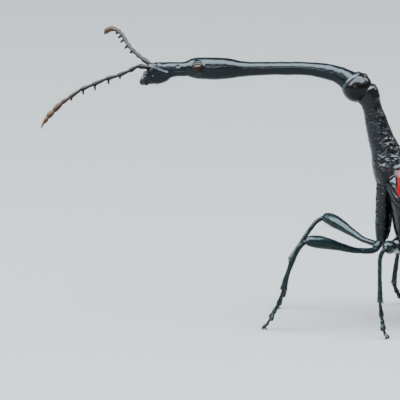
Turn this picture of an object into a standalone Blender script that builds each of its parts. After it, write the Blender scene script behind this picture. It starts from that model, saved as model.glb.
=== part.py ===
"""Male giraffe weevil, standing, at life size.

The beetle faces -X, its left side is at -Y and the floor is z = 0. Every size below is in
millimetres, and finish_node() brings each finished shape to metres.
"""

import math

import bmesh
import bpy
from mathutils import Matrix, Vector

# Metres in a millimetre, the gap between neighbours that face each other, and the gap round a
# piece that sits in a hollow
MM = 0.001
GAP = 0.15
SINK = 0.12
# How far the finished animal is moved along X, so that its footprint's middle is at x = 0
MIDDLE_X = 6.41
# Half the least thickness of a limb
THINNEST = 0.225

# Powers of the superellipses: 2 is a true ellipse, and more is squarer
HEAD_POWER = 2.2
PROTHORAX_POWER = 2.15
TRUNK_POWER = 2.35
CASE_POWER = 2.7

# Head: stations along the axis as (x, top, underside, half width)
HEAD_STATIONS = (
    (-13.42, 13.86, 13.30, 0.30),
    (-13.25, 14.00, 13.10, 0.43),
    (-12.88, 14.30, 13.05, 0.47),
    (-12.45, 14.35, 13.19, 0.45),
    (-12.05, 14.36, 13.45, 0.41),
    (-11.55, 14.36, 13.56, 0.37),
    (-11.20, 14.39, 13.57, 0.39),
    (-10.75, 14.58, 13.50, 0.49),
    (-10.35, 14.65, 13.45, 0.54),
    (-9.55, 14.66, 13.43, 0.55),
    (-8.90, 14.66, 13.48, 0.53),
    (-8.45, 14.60, 13.54, 0.49),
    (-8.12, 14.53, 13.59, 0.46),
)

EYE = Vector((-10.37, 0.50, 14.12))
EYE_RADIUS = 0.33
EYE_DEPTH = 0.22

# Mandible: points as (x, distance from the middle, z), and radii
JAW_PATH = ((-13.28, 0.17, 13.62), (-13.52, 0.21, 13.46), (-13.66, 0.20, 13.26),
            (-13.62, 0.12, 13.02))
JAW_RADII = (0.13, 0.14, 0.12, 0.04)

# Neck: a long tube that bends down into a ball joint
NECK_PATH = (
    (-7.97, 14.06, 0.45),
    (-7.30, 14.09, 0.39),
    (-6.40, 14.12, 0.38),
    (-5.40, 14.15, 0.38),
    (-4.40, 14.16, 0.38),
    (-3.70, 14.11, 0.42),
    (-3.10, 14.01, 0.45),
    (-2.65, 13.89, 0.48),
    (-2.30, 13.73, 0.54),
    (-1.98, 13.52, 0.64),
    (-1.86, 13.43, 0.66),
)
BALL = Vector((-1.54, 0.0, 13.19))
BALL_RADIUS = 0.85
BUMP = BALL + Vector((0.36, 0.0, 0.66))
BUMP_RADII = (0.24, 0.30, 0.20)

# Prothorax: centre line as (x, z, half depth, half width)
PROTHORAX_STATIONS = (
    (-1.12, 13.10, 0.74, 0.62),
    (-0.86, 12.62, 0.63, 0.58),
    (-0.72, 12.12, 0.53, 0.54),
    (-0.52, 11.45, 0.61, 0.60),
    (-0.34, 10.80, 0.66, 0.67),
    (-0.16, 10.25, 0.73, 0.75),
    (0.05, 9.65, 0.84, 0.87),
    (0.19, 9.08, 0.97, 1.02),
    (0.28, 8.66, 1.07, 1.13),
    (0.33, 8.45, 1.09, 1.16),
)
PROTHORAX_BASE_AXIS = Vector((0.62, 0.0, -0.78))

# Hind body: its own axes lean down to the rear from the base of the wing cases
BODY_BASE = Vector((1.45, 0.0, 8.95))
BODY_SLOPE = math.radians(33.0)
BACKWARD = Vector((math.cos(BODY_SLOPE), 0.0, -math.sin(BODY_SLOPE)))
DOWNWARD = Vector((-math.sin(BODY_SLOPE), 0.0, -math.cos(BODY_SLOPE)))

# Stations of the hind body as (back, half width, top, underside)
THORAX_STATIONS = (
    (-0.45, 1.05, 0.55, 1.95),
    (0.10, 1.55, 0.30, 2.30),
    (0.60, 1.88, 0.30, 2.72),
    (1.20, 2.02, 0.30, 3.45),
    (1.80, 2.06, 0.30, 3.95),
    (2.60, 2.08, 0.30, 4.02),
    (3.50, 2.06, 0.30, 3.86),
)
ABDOMEN_STATIONS = (
    (3.65, 2.05, 0.30, 3.82),
    (4.40, 1.97, 0.30, 3.62),
    (5.15, 1.76, 0.50, 3.36),
    (5.70, 1.42, 0.85, 3.10),
    (6.05, 1.05, 1.50, 2.92),
    (6.28, 0.60, 2.00, 2.72),
)

ELYTRON_LENGTH = 6.2
ELYTRON_HALF_WIDTH = 2.28
ELYTRON_WALL = 0.46
ELYTRON_STEPS_ALONG = 15
ELYTRON_STEPS_ACROSS = 9
# It narrows and falls behind this part of its length
TAPER_FROM = 0.62
TAPER = 0.60
SHOULDER_PART = 0.18
SHOULDER_INSET = 0.10
CREST_FALL = 1.75
CREST_ARCH = 0.10
# The outer margin's depth below the crest's front: at the front, and how far it drops behind
MARGIN_DEPTH = 1.40
MARGIN_DROP = 0.50
MARGIN_REAR_DROP = 0.35
FRONT_BOW = 0.40
REAR_BOW = 0.25
CUTTER_CLEARANCE = 0.8

# The small shield: its place as (back, down), and radii along, across and down
SCUTELLUM = (0.13, 0.26)
SCUTELLUM_RADII = (0.30, 0.27, 0.22)

FORE_COXA = ((0.06, 0.50, 8.00, 0.30), (0.03, 0.50, 7.40, 0.40), (-0.01, 0.51, 6.50, 0.42),
             (-0.05, 0.54, 5.50, 0.40), (-0.08, 0.58, 4.95, 0.34), (-0.10, 0.62, 4.62, 0.24))
MID_COXA = Vector((0.92, 0.98, 4.52))
HIND_COXA = Vector((2.26, 1.02, 4.06))
COXA_RADIUS = 0.44
COXA_STRETCH = 1.1

# Legs: points from the hip outwards as (x, distance from the middle, z)
FORE_FEMUR = ((-0.12, 0.66, 4.58), (-0.34, 0.90, 4.30), (-1.19, 1.56, 4.28),
              (-2.19, 2.41, 4.63), (-2.75, 2.89, 4.86), (-3.25, 3.32, 5.03),
              (-3.62, 3.64, 5.12), (-3.84, 3.82, 5.16))
FORE_FEMUR_RADII = (0.24, 0.23, 0.23, 0.28, 0.34, 0.36, 0.31, 0.24)
FORE_LEFT_TIBIA = ((-3.92, 3.84, 5.08), (-4.20, 3.81, 4.83), (-4.44, 3.76, 4.42),
                   (-4.67, 3.69, 3.90), (-4.90, 3.62, 3.33), (-5.08, 3.55, 2.75),
                   (-5.17, 3.50, 2.29))
FORE_LEFT_TARSUS = ((-5.18, 3.50, 2.20), (-5.50, 3.38, 1.42), (-5.74, 3.30, 1.00),
                    (-5.96, 3.24, 0.58), (-6.16, 3.17, 0.20))
FORE_RIGHT_TIBIA = ((-3.92, 3.84, 5.08), (-4.25, 3.81, 4.92), (-4.60, 3.76, 4.50),
                    (-5.00, 3.68, 3.90), (-5.38, 3.59, 3.25), (-5.71, 3.50, 2.66))
FORE_RIGHT_TARSUS = ((-5.73, 3.49, 2.57), (-5.93, 3.43, 1.62), (-6.04, 3.39, 1.13),
                     (-6.15, 3.35, 0.63), (-6.25, 3.31, 0.20))
MID_LEFT_FEMUR = ((0.92, 0.98, 4.25), (0.92, 1.40, 4.30), (0.90, 2.40, 4.55),
                  (0.85, 3.30, 4.80), (0.80, 3.95, 4.95), (0.74, 4.45, 5.03),
                  (0.68, 4.68, 5.04))
MID_RIGHT_FEMUR = ((0.92, 0.98, 4.25), (0.90, 1.40, 4.22), (0.84, 2.40, 4.25),
                   (0.74, 3.30, 4.32), (0.66, 3.95, 4.36), (0.58, 4.45, 4.36),
                   (0.52, 4.68, 4.32))
HIND_FEMUR = ((2.30, 1.05, 3.78), (2.48, 1.35, 3.90), (2.95, 2.20, 4.30),
              (3.36, 3.00, 4.68), (3.62, 3.55, 4.90), (3.82, 4.02, 5.02),
              (3.92, 4.26, 5.02))
REAR_FEMUR_RADII = (0.27, 0.23, 0.25, 0.33, 0.38, 0.34, 0.25)
MID_LEFT_TIBIA = ((0.55, 4.76, 4.94), (0.40, 4.80, 4.60), (0.35, 4.83, 3.80),
                  (0.36, 4.86, 2.90), (0.38, 4.88, 2.00))
MID_RIGHT_TIBIA = ((0.46, 4.78, 4.20), (0.36, 4.84, 3.80), (0.16, 4.90, 2.90),
                   (0.02, 4.93, 2.00), (-0.06, 4.95, 1.25))
HIND_TIBIA = ((3.98, 4.34, 4.94), (4.14, 4.50, 4.62), (4.42, 4.74, 3.80),
              (4.68, 4.94, 2.90), (4.86, 5.08, 2.05))
MID_LEFT_TARSUS = ((0.38, 4.88, 1.96), (0.47, 4.92, 1.22), (0.53, 4.94, 0.84),
                   (0.60, 4.96, 0.46), (0.68, 4.98, 0.18))
MID_RIGHT_TARSUS = ((-0.06, 4.95, 1.20), (0.10, 5.20, 0.72), (0.22, 5.42, 0.50),
                    (0.36, 5.64, 0.32), (0.52, 5.86, 0.18))
HIND_LEFT_TARSUS = ((4.87, 5.09, 2.00), (5.16, 5.30, 1.24), (5.34, 5.42, 0.86),
                    (5.52, 5.54, 0.48), (5.70, 5.66, 0.18))
HIND_RIGHT_TARSUS = ((4.87, 5.09, 2.00), (5.14, 5.34, 1.24), (5.30, 5.48, 0.86),
                     (5.47, 5.61, 0.48), (5.64, 5.74, 0.18))

# Foot segments as (radius at the root, radius at the end), and the claws
TARSUS_RADII = ((0.20, 0.25), (0.20, 0.27), (0.21, 0.30))
CLAW_SEGMENT_RADII = (0.15, 0.16, 0.17)
CLAW_RADII = (0.14, 0.13, 0.07)
CLAW_ELBOW = 0.16
CLAW_TIP = 0.03
UNDER_THE_FLOOR = ((-20.0, -12.0, -2.0), (20.0, 12.0, 0.0))

ANTENNA_LEFT = ((-13.14, -0.42, 14.12), (-13.72, -0.50, 14.18), (-14.20, -0.57, 13.91),
                (-14.82, -0.71, 13.65), (-15.45, -0.87, 13.48), (-16.20, -1.07, 13.16),
                (-16.82, -1.24, 12.91), (-17.44, -1.43, 12.46), (-17.85, -1.55, 12.19),
                (-18.27, -1.70, 11.75), (-18.60, -1.81, 11.42), (-18.92, -1.94, 10.80))
ANTENNA_RIGHT = ((-13.14, 0.42, 14.12), (-13.67, 0.72, 14.40), (-13.98, 0.97, 14.58),
                 (-14.32, 1.26, 14.80), (-14.60, 1.56, 15.06), (-14.86, 1.89, 15.36),
                 (-15.02, 2.07, 15.54), (-15.24, 2.29, 15.68), (-15.50, 2.49, 15.75),
                 (-15.78, 2.68, 15.73), (-16.00, 2.87, 15.55), (-16.10, 3.00, 15.34))
ANTENNA_RADII = (0.20, 0.19, 0.17, 0.17, 0.17, 0.17, 0.17, 0.18, 0.21, 0.22, 0.20)
ANTENNA_ROOT_RADIUS = 0.21
TOOTH_LENGTHS = {2: 0.16, 3: 0.26, 4: 0.30, 5: 0.26, 6: 0.18}
TOOTH_AIM_LEFT = Vector((0.10, -0.05, -1.0))
TOOTH_AIM_RIGHT = Vector((-0.75, -0.10, -0.65))

BLACK = (0.012, 0.014, 0.018)
BLUE_BLACK = (0.02, 0.028, 0.04)
BROWN = (0.035, 0.018, 0.010)
RED = (0.33, 0.02, 0.018)
EYE_BROWN = (0.02, 0.006, 0.005)


def finish(name, colour, roughness):
    """A glossy horn-like material with one colour and one roughness."""
    material = bpy.data.materials.new(name)
    material.use_nodes = True
    shader = material.node_tree.nodes["Principled BSDF"]
    shader.inputs["Base Color"].default_value = (*colour, 1.0)
    shader.inputs["Roughness"].default_value = roughness
    shader.inputs["Metallic"].default_value = 0.0
    return material


def new_object(name, points, faces):
    """A mesh object from points in millimetres."""
    mesh = bpy.data.meshes.new(name)
    mesh.from_pydata([tuple(point) for point in points], [], faces)
    mesh.update()
    piece = bpy.data.objects.new(name, mesh)
    bpy.context.scene.collection.objects.link(piece)
    return piece


def loft(name, rings):
    """A closed solid through rings of equal count, its two ends closed by flat faces."""
    count = len(rings[0])
    points = [point for ring in rings for point in ring]
    faces = []
    for low in range(len(rings) - 1):
        for side in range(count):
            after = (side + 1) % count
            faces.append((low * count + side, low * count + after,
                          (low + 1) * count + after, (low + 1) * count + side))
    last = (len(rings) - 1) * count
    faces.append(tuple(range(count)))
    faces.append(tuple(last + side for side in reversed(range(count))))
    piece = new_object(name, points, faces)
    tidy_mesh(piece)
    return piece


def tidy_mesh(piece):
    """Welds doubled points and turns all faces outwards."""
    shape = bmesh.new()
    shape.from_mesh(piece.data)
    bmesh.ops.remove_doubles(shape, verts=shape.verts, dist=1e-4)
    bmesh.ops.recalc_face_normals(shape, faces=shape.faces)
    shape.to_mesh(piece.data)
    shape.free()


def oval(centre, across, up, half_width, half_height, sides, power=2.0):
    """A closed ring: a superellipse with its own power, round an axis square to both arms."""
    ring = []
    for step in range(sides):
        angle = 2.0 * math.pi * (step + 0.5) / sides
        side, rise = math.cos(angle), math.sin(angle)
        side = math.copysign(abs(side) ** (2.0 / power), side)
        rise = math.copysign(abs(rise) ** (2.0 / power), rise)
        ring.append(centre + across * (half_width * side) + up * (half_height * rise))
    return ring


def tube(name, points, radii, resolution=2):
    """A round limb along a poly line whose radius changes from point to point."""
    curve = bpy.data.curves.new(name, "CURVE")
    curve.dimensions = "3D"
    curve.bevel_depth = 1.0
    curve.bevel_resolution = resolution
    curve.use_fill_caps = True
    spline = curve.splines.new("POLY")
    spline.points.add(len(points) - 1)
    for knot, point, radius in zip(spline.points, points, radii):
        knot.co = (*point, 1.0)
        knot.radius = radius
    guide = bpy.data.objects.new(name, curve)
    bpy.context.scene.collection.objects.link(guide)
    graph = bpy.context.evaluated_depsgraph_get()
    mesh = bpy.data.meshes.new_from_object(guide.evaluated_get(graph))
    piece = bpy.data.objects.new(name, mesh)
    piece.matrix_world = guide.matrix_world
    bpy.context.scene.collection.objects.link(piece)
    bpy.data.objects.remove(guide)
    tidy_mesh(piece)
    return piece


def blunt(points, radii, rounding=0.55):
    """Adds a small ring at each end of a limb, so that it ends rounded."""
    points = [Vector(point) for point in points]
    first = (points[0] - points[1]).normalized()
    last = (points[-1] - points[-2]).normalized()
    start = points[0] + first * (radii[0] * 0.45)
    end = points[-1] + last * (radii[-1] * 0.45)
    return ([start, *points, end], [radii[0] * rounding, *radii, radii[-1] * rounding])


def ball(name, centre, radii, segments=16, rings=10):
    """An ellipsoid with its poles at the top and bottom."""
    mesh = bpy.data.meshes.new(name)
    shape = bmesh.new()
    bmesh.ops.create_uvsphere(shape, u_segments=segments, v_segments=rings, radius=1.0)
    bmesh.ops.scale(shape, verts=shape.verts, vec=Vector(radii))
    bmesh.ops.translate(shape, verts=shape.verts, vec=Vector(centre))
    shape.to_mesh(mesh)
    shape.free()
    piece = bpy.data.objects.new(name, mesh)
    bpy.context.scene.collection.objects.link(piece)
    return piece


def cone(name, root, tip, root_radius, tip_radius, sides=6):
    """A short spine from its root to its tip."""
    root, tip = Vector(root), Vector(tip)
    length = (tip - root).length
    mesh = bpy.data.meshes.new(name)
    shape = bmesh.new()
    bmesh.ops.create_cone(shape, cap_ends=True, segments=sides, radius1=root_radius,
                          radius2=tip_radius, depth=length)
    turn = (tip - root).to_track_quat("Z", "Y").to_matrix().to_4x4()
    bmesh.ops.transform(shape, verts=shape.verts,
                        matrix=Matrix.Translation((root + tip) / 2) @ turn)
    shape.to_mesh(mesh)
    shape.free()
    piece = bpy.data.objects.new(name, mesh)
    bpy.context.scene.collection.objects.link(piece)
    return piece


def slab(name, low, high):
    """A box between two corners."""
    mesh = bpy.data.meshes.new(name)
    shape = bmesh.new()
    bmesh.ops.create_cube(shape, size=1.0)
    low, high = Vector(low), Vector(high)
    bmesh.ops.scale(shape, verts=shape.verts, vec=high - low)
    bmesh.ops.translate(shape, verts=shape.verts, vec=(low + high) / 2)
    shape.to_mesh(mesh)
    shape.free()
    piece = bpy.data.objects.new(name, mesh)
    bpy.context.scene.collection.objects.link(piece)
    return piece


def combine(base, others, operation):
    """Joins the other pieces to the base or cuts them out of it, and removes them."""
    group = bpy.data.collections.new("joined pieces")
    for other in others:
        group.objects.link(other)
    change = base.modifiers.new("combine", "BOOLEAN")
    change.operation = operation
    change.operand_type = "COLLECTION"
    change.collection = group
    change.solver = "EXACT"
    graph = bpy.context.evaluated_depsgraph_get()
    mesh = bpy.data.meshes.new_from_object(base.evaluated_get(graph))
    base.modifiers.clear()
    base.data = mesh
    for other in others:
        bpy.data.objects.remove(other)
    bpy.data.collections.remove(group)
    keep_largest(base)


def keep_largest(piece):
    """Keeps only the largest closed surface of a shape."""
    shape = bmesh.new()
    shape.from_mesh(piece.data)
    bmesh.ops.remove_doubles(shape, verts=shape.verts, dist=1e-4)
    bmesh.ops.dissolve_degenerate(shape, dist=1e-4, edges=shape.edges)
    unseen = set(shape.faces)
    groups = []
    while unseen:
        group, waiting = set(), [unseen.pop()]
        while waiting:
            face = waiting.pop()
            group.add(face)
            for edge in face.edges:
                for other in edge.link_faces:
                    if other in unseen:
                        unseen.remove(other)
                        waiting.append(other)
        groups.append(group)
    largest = max(groups, key=lambda faces: sum(face.calc_area() for face in faces))
    loose = [face for face in shape.faces if face not in largest]
    bmesh.ops.delete(shape, geom=loose, context="FACES")
    bmesh.ops.triangulate(shape, faces=shape.faces)
    shape.to_mesh(piece.data)
    shape.free()


def finish_node(piece, name, material, collection):
    """Names a finished piece, brings it to metres round the middle, and files it."""
    shape = bmesh.new()
    shape.from_mesh(piece.data)
    bmesh.ops.translate(shape, verts=shape.verts, vec=(MIDDLE_X, 0.0, 0.0))
    bmesh.ops.scale(shape, verts=shape.verts, vec=(MM, MM, MM))
    shape.to_mesh(piece.data)
    shape.free()
    piece.name = name
    piece.data.name = name
    piece.data.materials.clear()
    piece.data.materials.append(material)
    piece.data.shade_smooth()
    piece.data.set_sharp_from_angle(angle=math.radians(40.0))
    for home in list(piece.users_collection):
        home.objects.unlink(piece)
    collection.objects.link(piece)


def mirrored(points, side):
    """The same points on the left (side -1) or the right (side +1)."""
    return [Vector((point[0], point[1] * side, point[2])) for point in points]


def in_body(back, across, down):
    """A point of the hind body from its own three measures."""
    return BODY_BASE + BACKWARD * back + DOWNWARD * down + Vector((0.0, across, 0.0))


def head_solid():
    """Snout and eye region, as one loft of near-round sections."""
    rings = []
    for x, top, under, half_width in HEAD_STATIONS:
        centre = Vector((x, 0.0, (top + under) / 2))
        rings.append(oval(centre, Vector((0, 1, 0)), Vector((0, 0, 1)), half_width,
                          (top - under) / 2, 18, HEAD_POWER))
    return loft("head", rings)


def neck_solid():
    """Tube, flared rim and ball."""
    points, radii = [], []
    for x, z, radius in NECK_PATH:
        points.append((x, 0.0, z))
        radii.append(radius)
    piece = tube("neck", points, radii, 6)
    knuckle = ball("knuckle", BALL, (BALL_RADIUS,) * 3, 20, 14)
    bump = ball("bump", BUMP, BUMP_RADII, 10, 7)
    combine(piece, [knuckle, bump], "UNION")
    return piece


def prothorax_solid(grow=0.0):
    """A long cone that leans forward, hollowed at its front round the ball of the neck."""
    rings = []
    last = len(PROTHORAX_STATIONS) - 1
    for index, (x, z, half_depth, half_width) in enumerate(PROTHORAX_STATIONS):
        before = PROTHORAX_STATIONS[max(index - 1, 0)]
        after = PROTHORAX_STATIONS[min(index + 1, last)]
        along = Vector((after[0] - before[0], 0.0, after[1] - before[1])).normalized()
        if index >= last - 1:
            along = PROTHORAX_BASE_AXIS.normalized()
        front = Vector((-along.z, 0.0, along.x))
        centre = Vector((x, 0.0, z))
        if index == last:
            centre += along * grow
        rings.append(oval(centre, Vector((0, 1, 0)), front, half_width + grow,
                          half_depth + grow, 20, PROTHORAX_POWER))
    piece = loft("prothorax", rings)
    if not grow:
        socket = ball("socket", BALL, (BALL_RADIUS + SINK,) * 3, 20, 14)
        combine(piece, [socket], "DIFFERENCE")
    return piece


def trunk_solid(name, stations):
    """A length of the hind body from its stations."""
    rings = []
    for back, half_width, top, under in stations:
        centre = in_body(back, 0.0, (top + under) / 2)
        rings.append(oval(centre, Vector((0, 1, 0)), -DOWNWARD, half_width,
                          (under - top) / 2, 24, TRUNK_POWER))
    return loft(name, rings)


def elytron_ring(along, side, wall, edge):
    """One section of a wing case, from the middle seam over the back to its outer margin.

    The outer line is a quarter of a superellipse. The inner line lies a wall's thickness
    inside it. An edge makes the section a cutter: it is wider by that much at the seam, the
    margin and the rear, and its outer line stands well clear of the back.
    """
    clear = CUTTER_CLEARANCE if edge else 0.0
    rear = max(0.0, (along - TAPER_FROM) / (1.0 - TAPER_FROM))
    narrow = 1.0 - TAPER * rear ** 2.3
    shoulder = 1.0 - SHOULDER_INSET * (1.0 - min(along / SHOULDER_PART, 1.0)) ** 2
    reach = ELYTRON_HALF_WIDTH * narrow * shoulder
    arch = CREST_ARCH * math.sin(math.pi * min(along / 0.7, 1.0))
    crest = CREST_FALL * rear ** 2.1 - arch
    margin = MARGIN_DEPTH + MARGIN_DROP * min(along / 0.35, 1.0) + MARGIN_REAR_DROP * rear ** 2
    round_power = 2.0 / CASE_POWER
    outer, inner = [], []
    for step in range(ELYTRON_STEPS_ACROSS + 1):
        turn = step / ELYTRON_STEPS_ACROSS
        angle = turn * math.pi / 2
        across = GAP / 2 + (reach - GAP / 2) * math.sin(angle) ** round_power
        down = crest + (margin - crest) * (1.0 - math.cos(angle) ** round_power)
        front = -FRONT_BOW * math.sin(math.pi * turn)
        length = ELYTRON_LENGTH + 2 * edge - REAR_BOW * turn ** 2 - front
        back = front - edge + length * along
        deep = Vector((-math.sin(angle), math.cos(angle)))
        outer.append((back, across - deep.x * clear, down - deep.y * clear))
        inner_across = max(across + deep.x * wall, GAP / 2 - edge)
        inner.append((back, inner_across, down + deep.y * wall))
    outer[0] = (outer[0][0], outer[0][1] - edge, outer[0][2])
    if edge:
        back, across, down = outer[-1]
        outer.append((back, across, down + edge))
        back, across, down = inner[-1]
        inner.append((back, across, down + edge))
    return [in_body(back, across * side, down) for back, across, down in outer + inner[::-1]]


def elytron_solid(side, wall=ELYTRON_WALL, edge=0.0):
    """A curved wing case with an even wall, notched at its base for the small shield."""
    rings = [elytron_ring(step / ELYTRON_STEPS_ALONG, side, wall, edge)
             for step in range(ELYTRON_STEPS_ALONG + 1)]
    piece = loft("elytron", rings)
    if not edge:
        combine(piece, [scutellum_solid(GAP)], "DIFFERENCE")
    return piece


def scutellum_solid(grow=0.0):
    """The small shield between the bases of the wing cases."""
    radii = [radius + grow for radius in SCUTELLUM_RADII]
    piece = ball("scutellum", (0.0, 0.0, 0.0), radii, 14, 10)
    turn = Matrix.Rotation(BODY_SLOPE, 4, "Y")
    place = Matrix.Translation(in_body(SCUTELLUM[0], 0.0, SCUTELLUM[1]))
    piece.data.transform(place @ turn)
    return piece


def antenna_solid(path, aim):
    """Eleven segments, five of them with a tooth that points the given way, and a club of three."""
    aim = aim.normalized()
    pieces = []
    for index in range(len(path) - 1):
        start, end = Vector(path[index]), Vector(path[index + 1])
        radius = ANTENNA_RADII[index]
        along = (end - start).normalized()
        head = start - along * (0.06 if index else 0.0)
        tail = end + along * 0.06
        last = index == len(path) - 2
        points = [head, start.lerp(end, 0.2), start.lerp(end, 0.75), tail]
        radii = [radius * 0.72, radius * 0.88, radius, radius * (0.35 if last else 0.85)]
        pieces.append(tube("segment", points, radii))
        if index in TOOTH_LENGTHS:
            root = start.lerp(end, 0.82)
            tip = root + aim * (radius + TOOTH_LENGTHS[index])
            pieces.append(cone("tooth", root, tip, 0.14, 0.05))
    base = pieces.pop(0)
    root = ball("root", path[0], (ANTENNA_ROOT_RADIUS,) * 3, 10, 8)
    combine(base, [root, *pieces], "UNION")
    return base


def tarsus_pieces(joints, spread):
    """Foot segments that widen outwards, a claw segment and two claws."""
    pieces = []
    for index, (narrow, wide) in enumerate(TARSUS_RADII):
        start, end = Vector(joints[index]), Vector(joints[index + 1])
        along = (end - start).normalized()
        points = [start - along * 0.05, start.lerp(end, 0.6), end + along * 0.04]
        pieces.append(tube("foot segment", points, [narrow, wide, wide * 0.8]))
    start, end = Vector(joints[3]), Vector(joints[4])
    points = [start.lerp(end, -0.2), start.lerp(end, 0.5), end]
    pieces.append(tube("claw segment", points, CLAW_SEGMENT_RADII))
    for turn in (-1.0, 1.0):
        aim = Vector((spread.x, spread.y, 0.0)).normalized()
        sideways = Vector((-aim.y, aim.x, 0.0)) * turn
        elbow = end + aim * 0.12 + sideways * 0.13
        elbow.z = CLAW_ELBOW
        tip = elbow + aim * 0.22 + sideways * 0.10
        tip.z = CLAW_TIP
        pieces.append(tube("claw", [end, elbow, tip], CLAW_RADII, 1))
    return pieces


def jaw_solid(side, grow=0.0):
    """A stout curved mandible, rooted in the front of the snout."""
    points = mirrored(JAW_PATH, side)
    points[0].x += grow
    points[-1].z -= grow
    return tube("jaw", points, [radius + grow for radius in JAW_RADII])


def leg_solid(coxa, femur, femur_radii, tibia, tarsus, spread):
    """Hip, thigh, shin and foot fused into one leg, with its foot flat at the floor."""
    pieces = []
    pieces.append(tube("thigh", *blunt(femur, femur_radii)))
    shin_radii = [THINNEST] * (len(tibia) - 1) + [THINNEST + 0.03]
    pieces.append(tube("shin", *blunt(tibia, shin_radii)))
    pieces.extend(tarsus_pieces(tarsus, spread))
    combine(coxa, pieces, "UNION")
    under = slab("under the floor", *UNDER_THE_FLOOR)
    combine(coxa, [under], "DIFFERENCE")
    return coxa


def fore_coxa(side, grow=0.0):
    """The long conical hip of a fore leg."""
    points = mirrored([station[:3] for station in FORE_COXA], side)
    return tube("coxa", points, [station[3] + grow for station in FORE_COXA], 4)


def round_coxa(centre, side, grow=0.0):
    """The short hip of a mid or hind leg."""
    radii = (COXA_RADIUS + grow, COXA_RADIUS * COXA_STRETCH + grow, COXA_RADIUS + grow)
    return ball("coxa", (centre.x, centre.y * side, centre.z), radii, 14, 10)


def build_legs(material, collection):
    """All six legs, each as its side, hip, thigh, thigh radii, shin and foot."""
    plans = {
        "leg_fore_left": (-1, None, FORE_FEMUR, FORE_FEMUR_RADII, FORE_LEFT_TIBIA,
                          FORE_LEFT_TARSUS),
        "leg_fore_right": (1, None, FORE_FEMUR, FORE_FEMUR_RADII, FORE_RIGHT_TIBIA,
                           FORE_RIGHT_TARSUS),
        "leg_mid_left": (-1, MID_COXA, MID_LEFT_FEMUR, REAR_FEMUR_RADII, MID_LEFT_TIBIA,
                         MID_LEFT_TARSUS),
        "leg_mid_right": (1, MID_COXA, MID_RIGHT_FEMUR, REAR_FEMUR_RADII, MID_RIGHT_TIBIA,
                          MID_RIGHT_TARSUS),
        "leg_hind_left": (-1, HIND_COXA, HIND_FEMUR, REAR_FEMUR_RADII, HIND_TIBIA,
                          HIND_LEFT_TARSUS),
        "leg_hind_right": (1, HIND_COXA, HIND_FEMUR, REAR_FEMUR_RADII, HIND_TIBIA,
                           HIND_RIGHT_TARSUS),
    }
    for name, (side, centre, femur, radii, tibia, tarsus) in plans.items():
        if centre is None:
            coxa = fore_coxa(side)
            combine(coxa, [prothorax_solid(GAP)], "DIFFERENCE")
        else:
            coxa = round_coxa(centre, side)
        toe, ankle = Vector(tarsus[-1]), Vector(tarsus[0])
        spread = Vector((toe.x - ankle.x, (toe.y - ankle.y) * side, 0.0))
        leg = leg_solid(coxa, mirrored(femur, side), list(radii), mirrored(tibia, side),
                        mirrored(tarsus, side), spread)
        finish_node(leg, name, material, collection)


def build():
    """Every node of the beetle."""
    for old in list(bpy.data.objects):
        bpy.data.objects.remove(old)
    collection = bpy.data.collections.new("giraffe weevil")
    bpy.context.scene.collection.children.link(collection)
    shell = finish("black shell", BLACK, 0.18)
    neck_shell = finish("neck shell", BLUE_BLACK, 0.16)
    horn = finish("antenna horn", BROWN, 0.35)
    eye_glaze = finish("eye glaze", EYE_BROWN, 0.08)
    wing_case = finish("wing case", RED, 0.15)

    head = head_solid()
    hollows = []
    for side in (-1, 1):
        centre = (EYE.x, EYE.y * side, EYE.z)
        radii = (EYE_RADIUS + SINK, EYE_DEPTH + SINK, EYE_RADIUS + SINK)
        hollows.append(ball("eye hollow", centre, radii))
        root = ANTENNA_LEFT[0] if side < 0 else ANTENNA_RIGHT[0]
        hollows.append(ball("antenna hollow", root, (0.21 + SINK,) * 3, 12, 8))
        hollows.append(jaw_solid(side, SINK))
    combine(head, hollows, "DIFFERENCE")
    finish_node(head, "head", neck_shell, collection)
    finish_node(neck_solid(), "neck", neck_shell, collection)
    for side, word in ((-1, "left"), (1, "right")):
        eye = ball("eye", (EYE.x, EYE.y * side, EYE.z), (EYE_RADIUS, EYE_DEPTH, EYE_RADIUS))
        finish_node(eye, "eye_" + word, eye_glaze, collection)
        finish_node(jaw_solid(side), "mandible_" + word, horn, collection)
    feeler = antenna_solid(ANTENNA_LEFT, TOOTH_AIM_LEFT)
    finish_node(feeler, "antenna_left", horn, collection)
    feeler = antenna_solid(ANTENNA_RIGHT, TOOTH_AIM_RIGHT)
    finish_node(feeler, "antenna_right", horn, collection)
    finish_node(prothorax_solid(), "prothorax", shell, collection)

    thorax = trunk_solid("thorax", THORAX_STATIONS)
    cutters = [prothorax_solid(GAP), scutellum_solid(GAP)]
    for side in (-1, 1):
        cutters.append(fore_coxa(side, GAP))
        cutters.append(round_coxa(MID_COXA, side, GAP))
        cutters.append(round_coxa(HIND_COXA, side, GAP))
        cutters.append(elytron_solid(side, ELYTRON_WALL + GAP, GAP))
    combine(thorax, cutters, "DIFFERENCE")
    finish_node(thorax, "thorax", shell, collection)
    finish_node(scutellum_solid(), "scutellum", shell, collection)
    abdomen = trunk_solid("abdomen", ABDOMEN_STATIONS)
    cutters = []
    for side in (-1, 1):
        cutters.append(round_coxa(HIND_COXA, side, GAP))
        cutters.append(elytron_solid(side, ELYTRON_WALL + GAP, GAP))
    combine(abdomen, cutters, "DIFFERENCE")
    finish_node(abdomen, "abdomen", shell, collection)
    for side, word in ((-1, "left"), (1, "right")):
        finish_node(elytron_solid(side), "elytron_" + word, wing_case, collection)
    build_legs(shell, collection)


build()
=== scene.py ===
# The looks of a male giraffe weevil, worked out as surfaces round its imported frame.
import math

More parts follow.
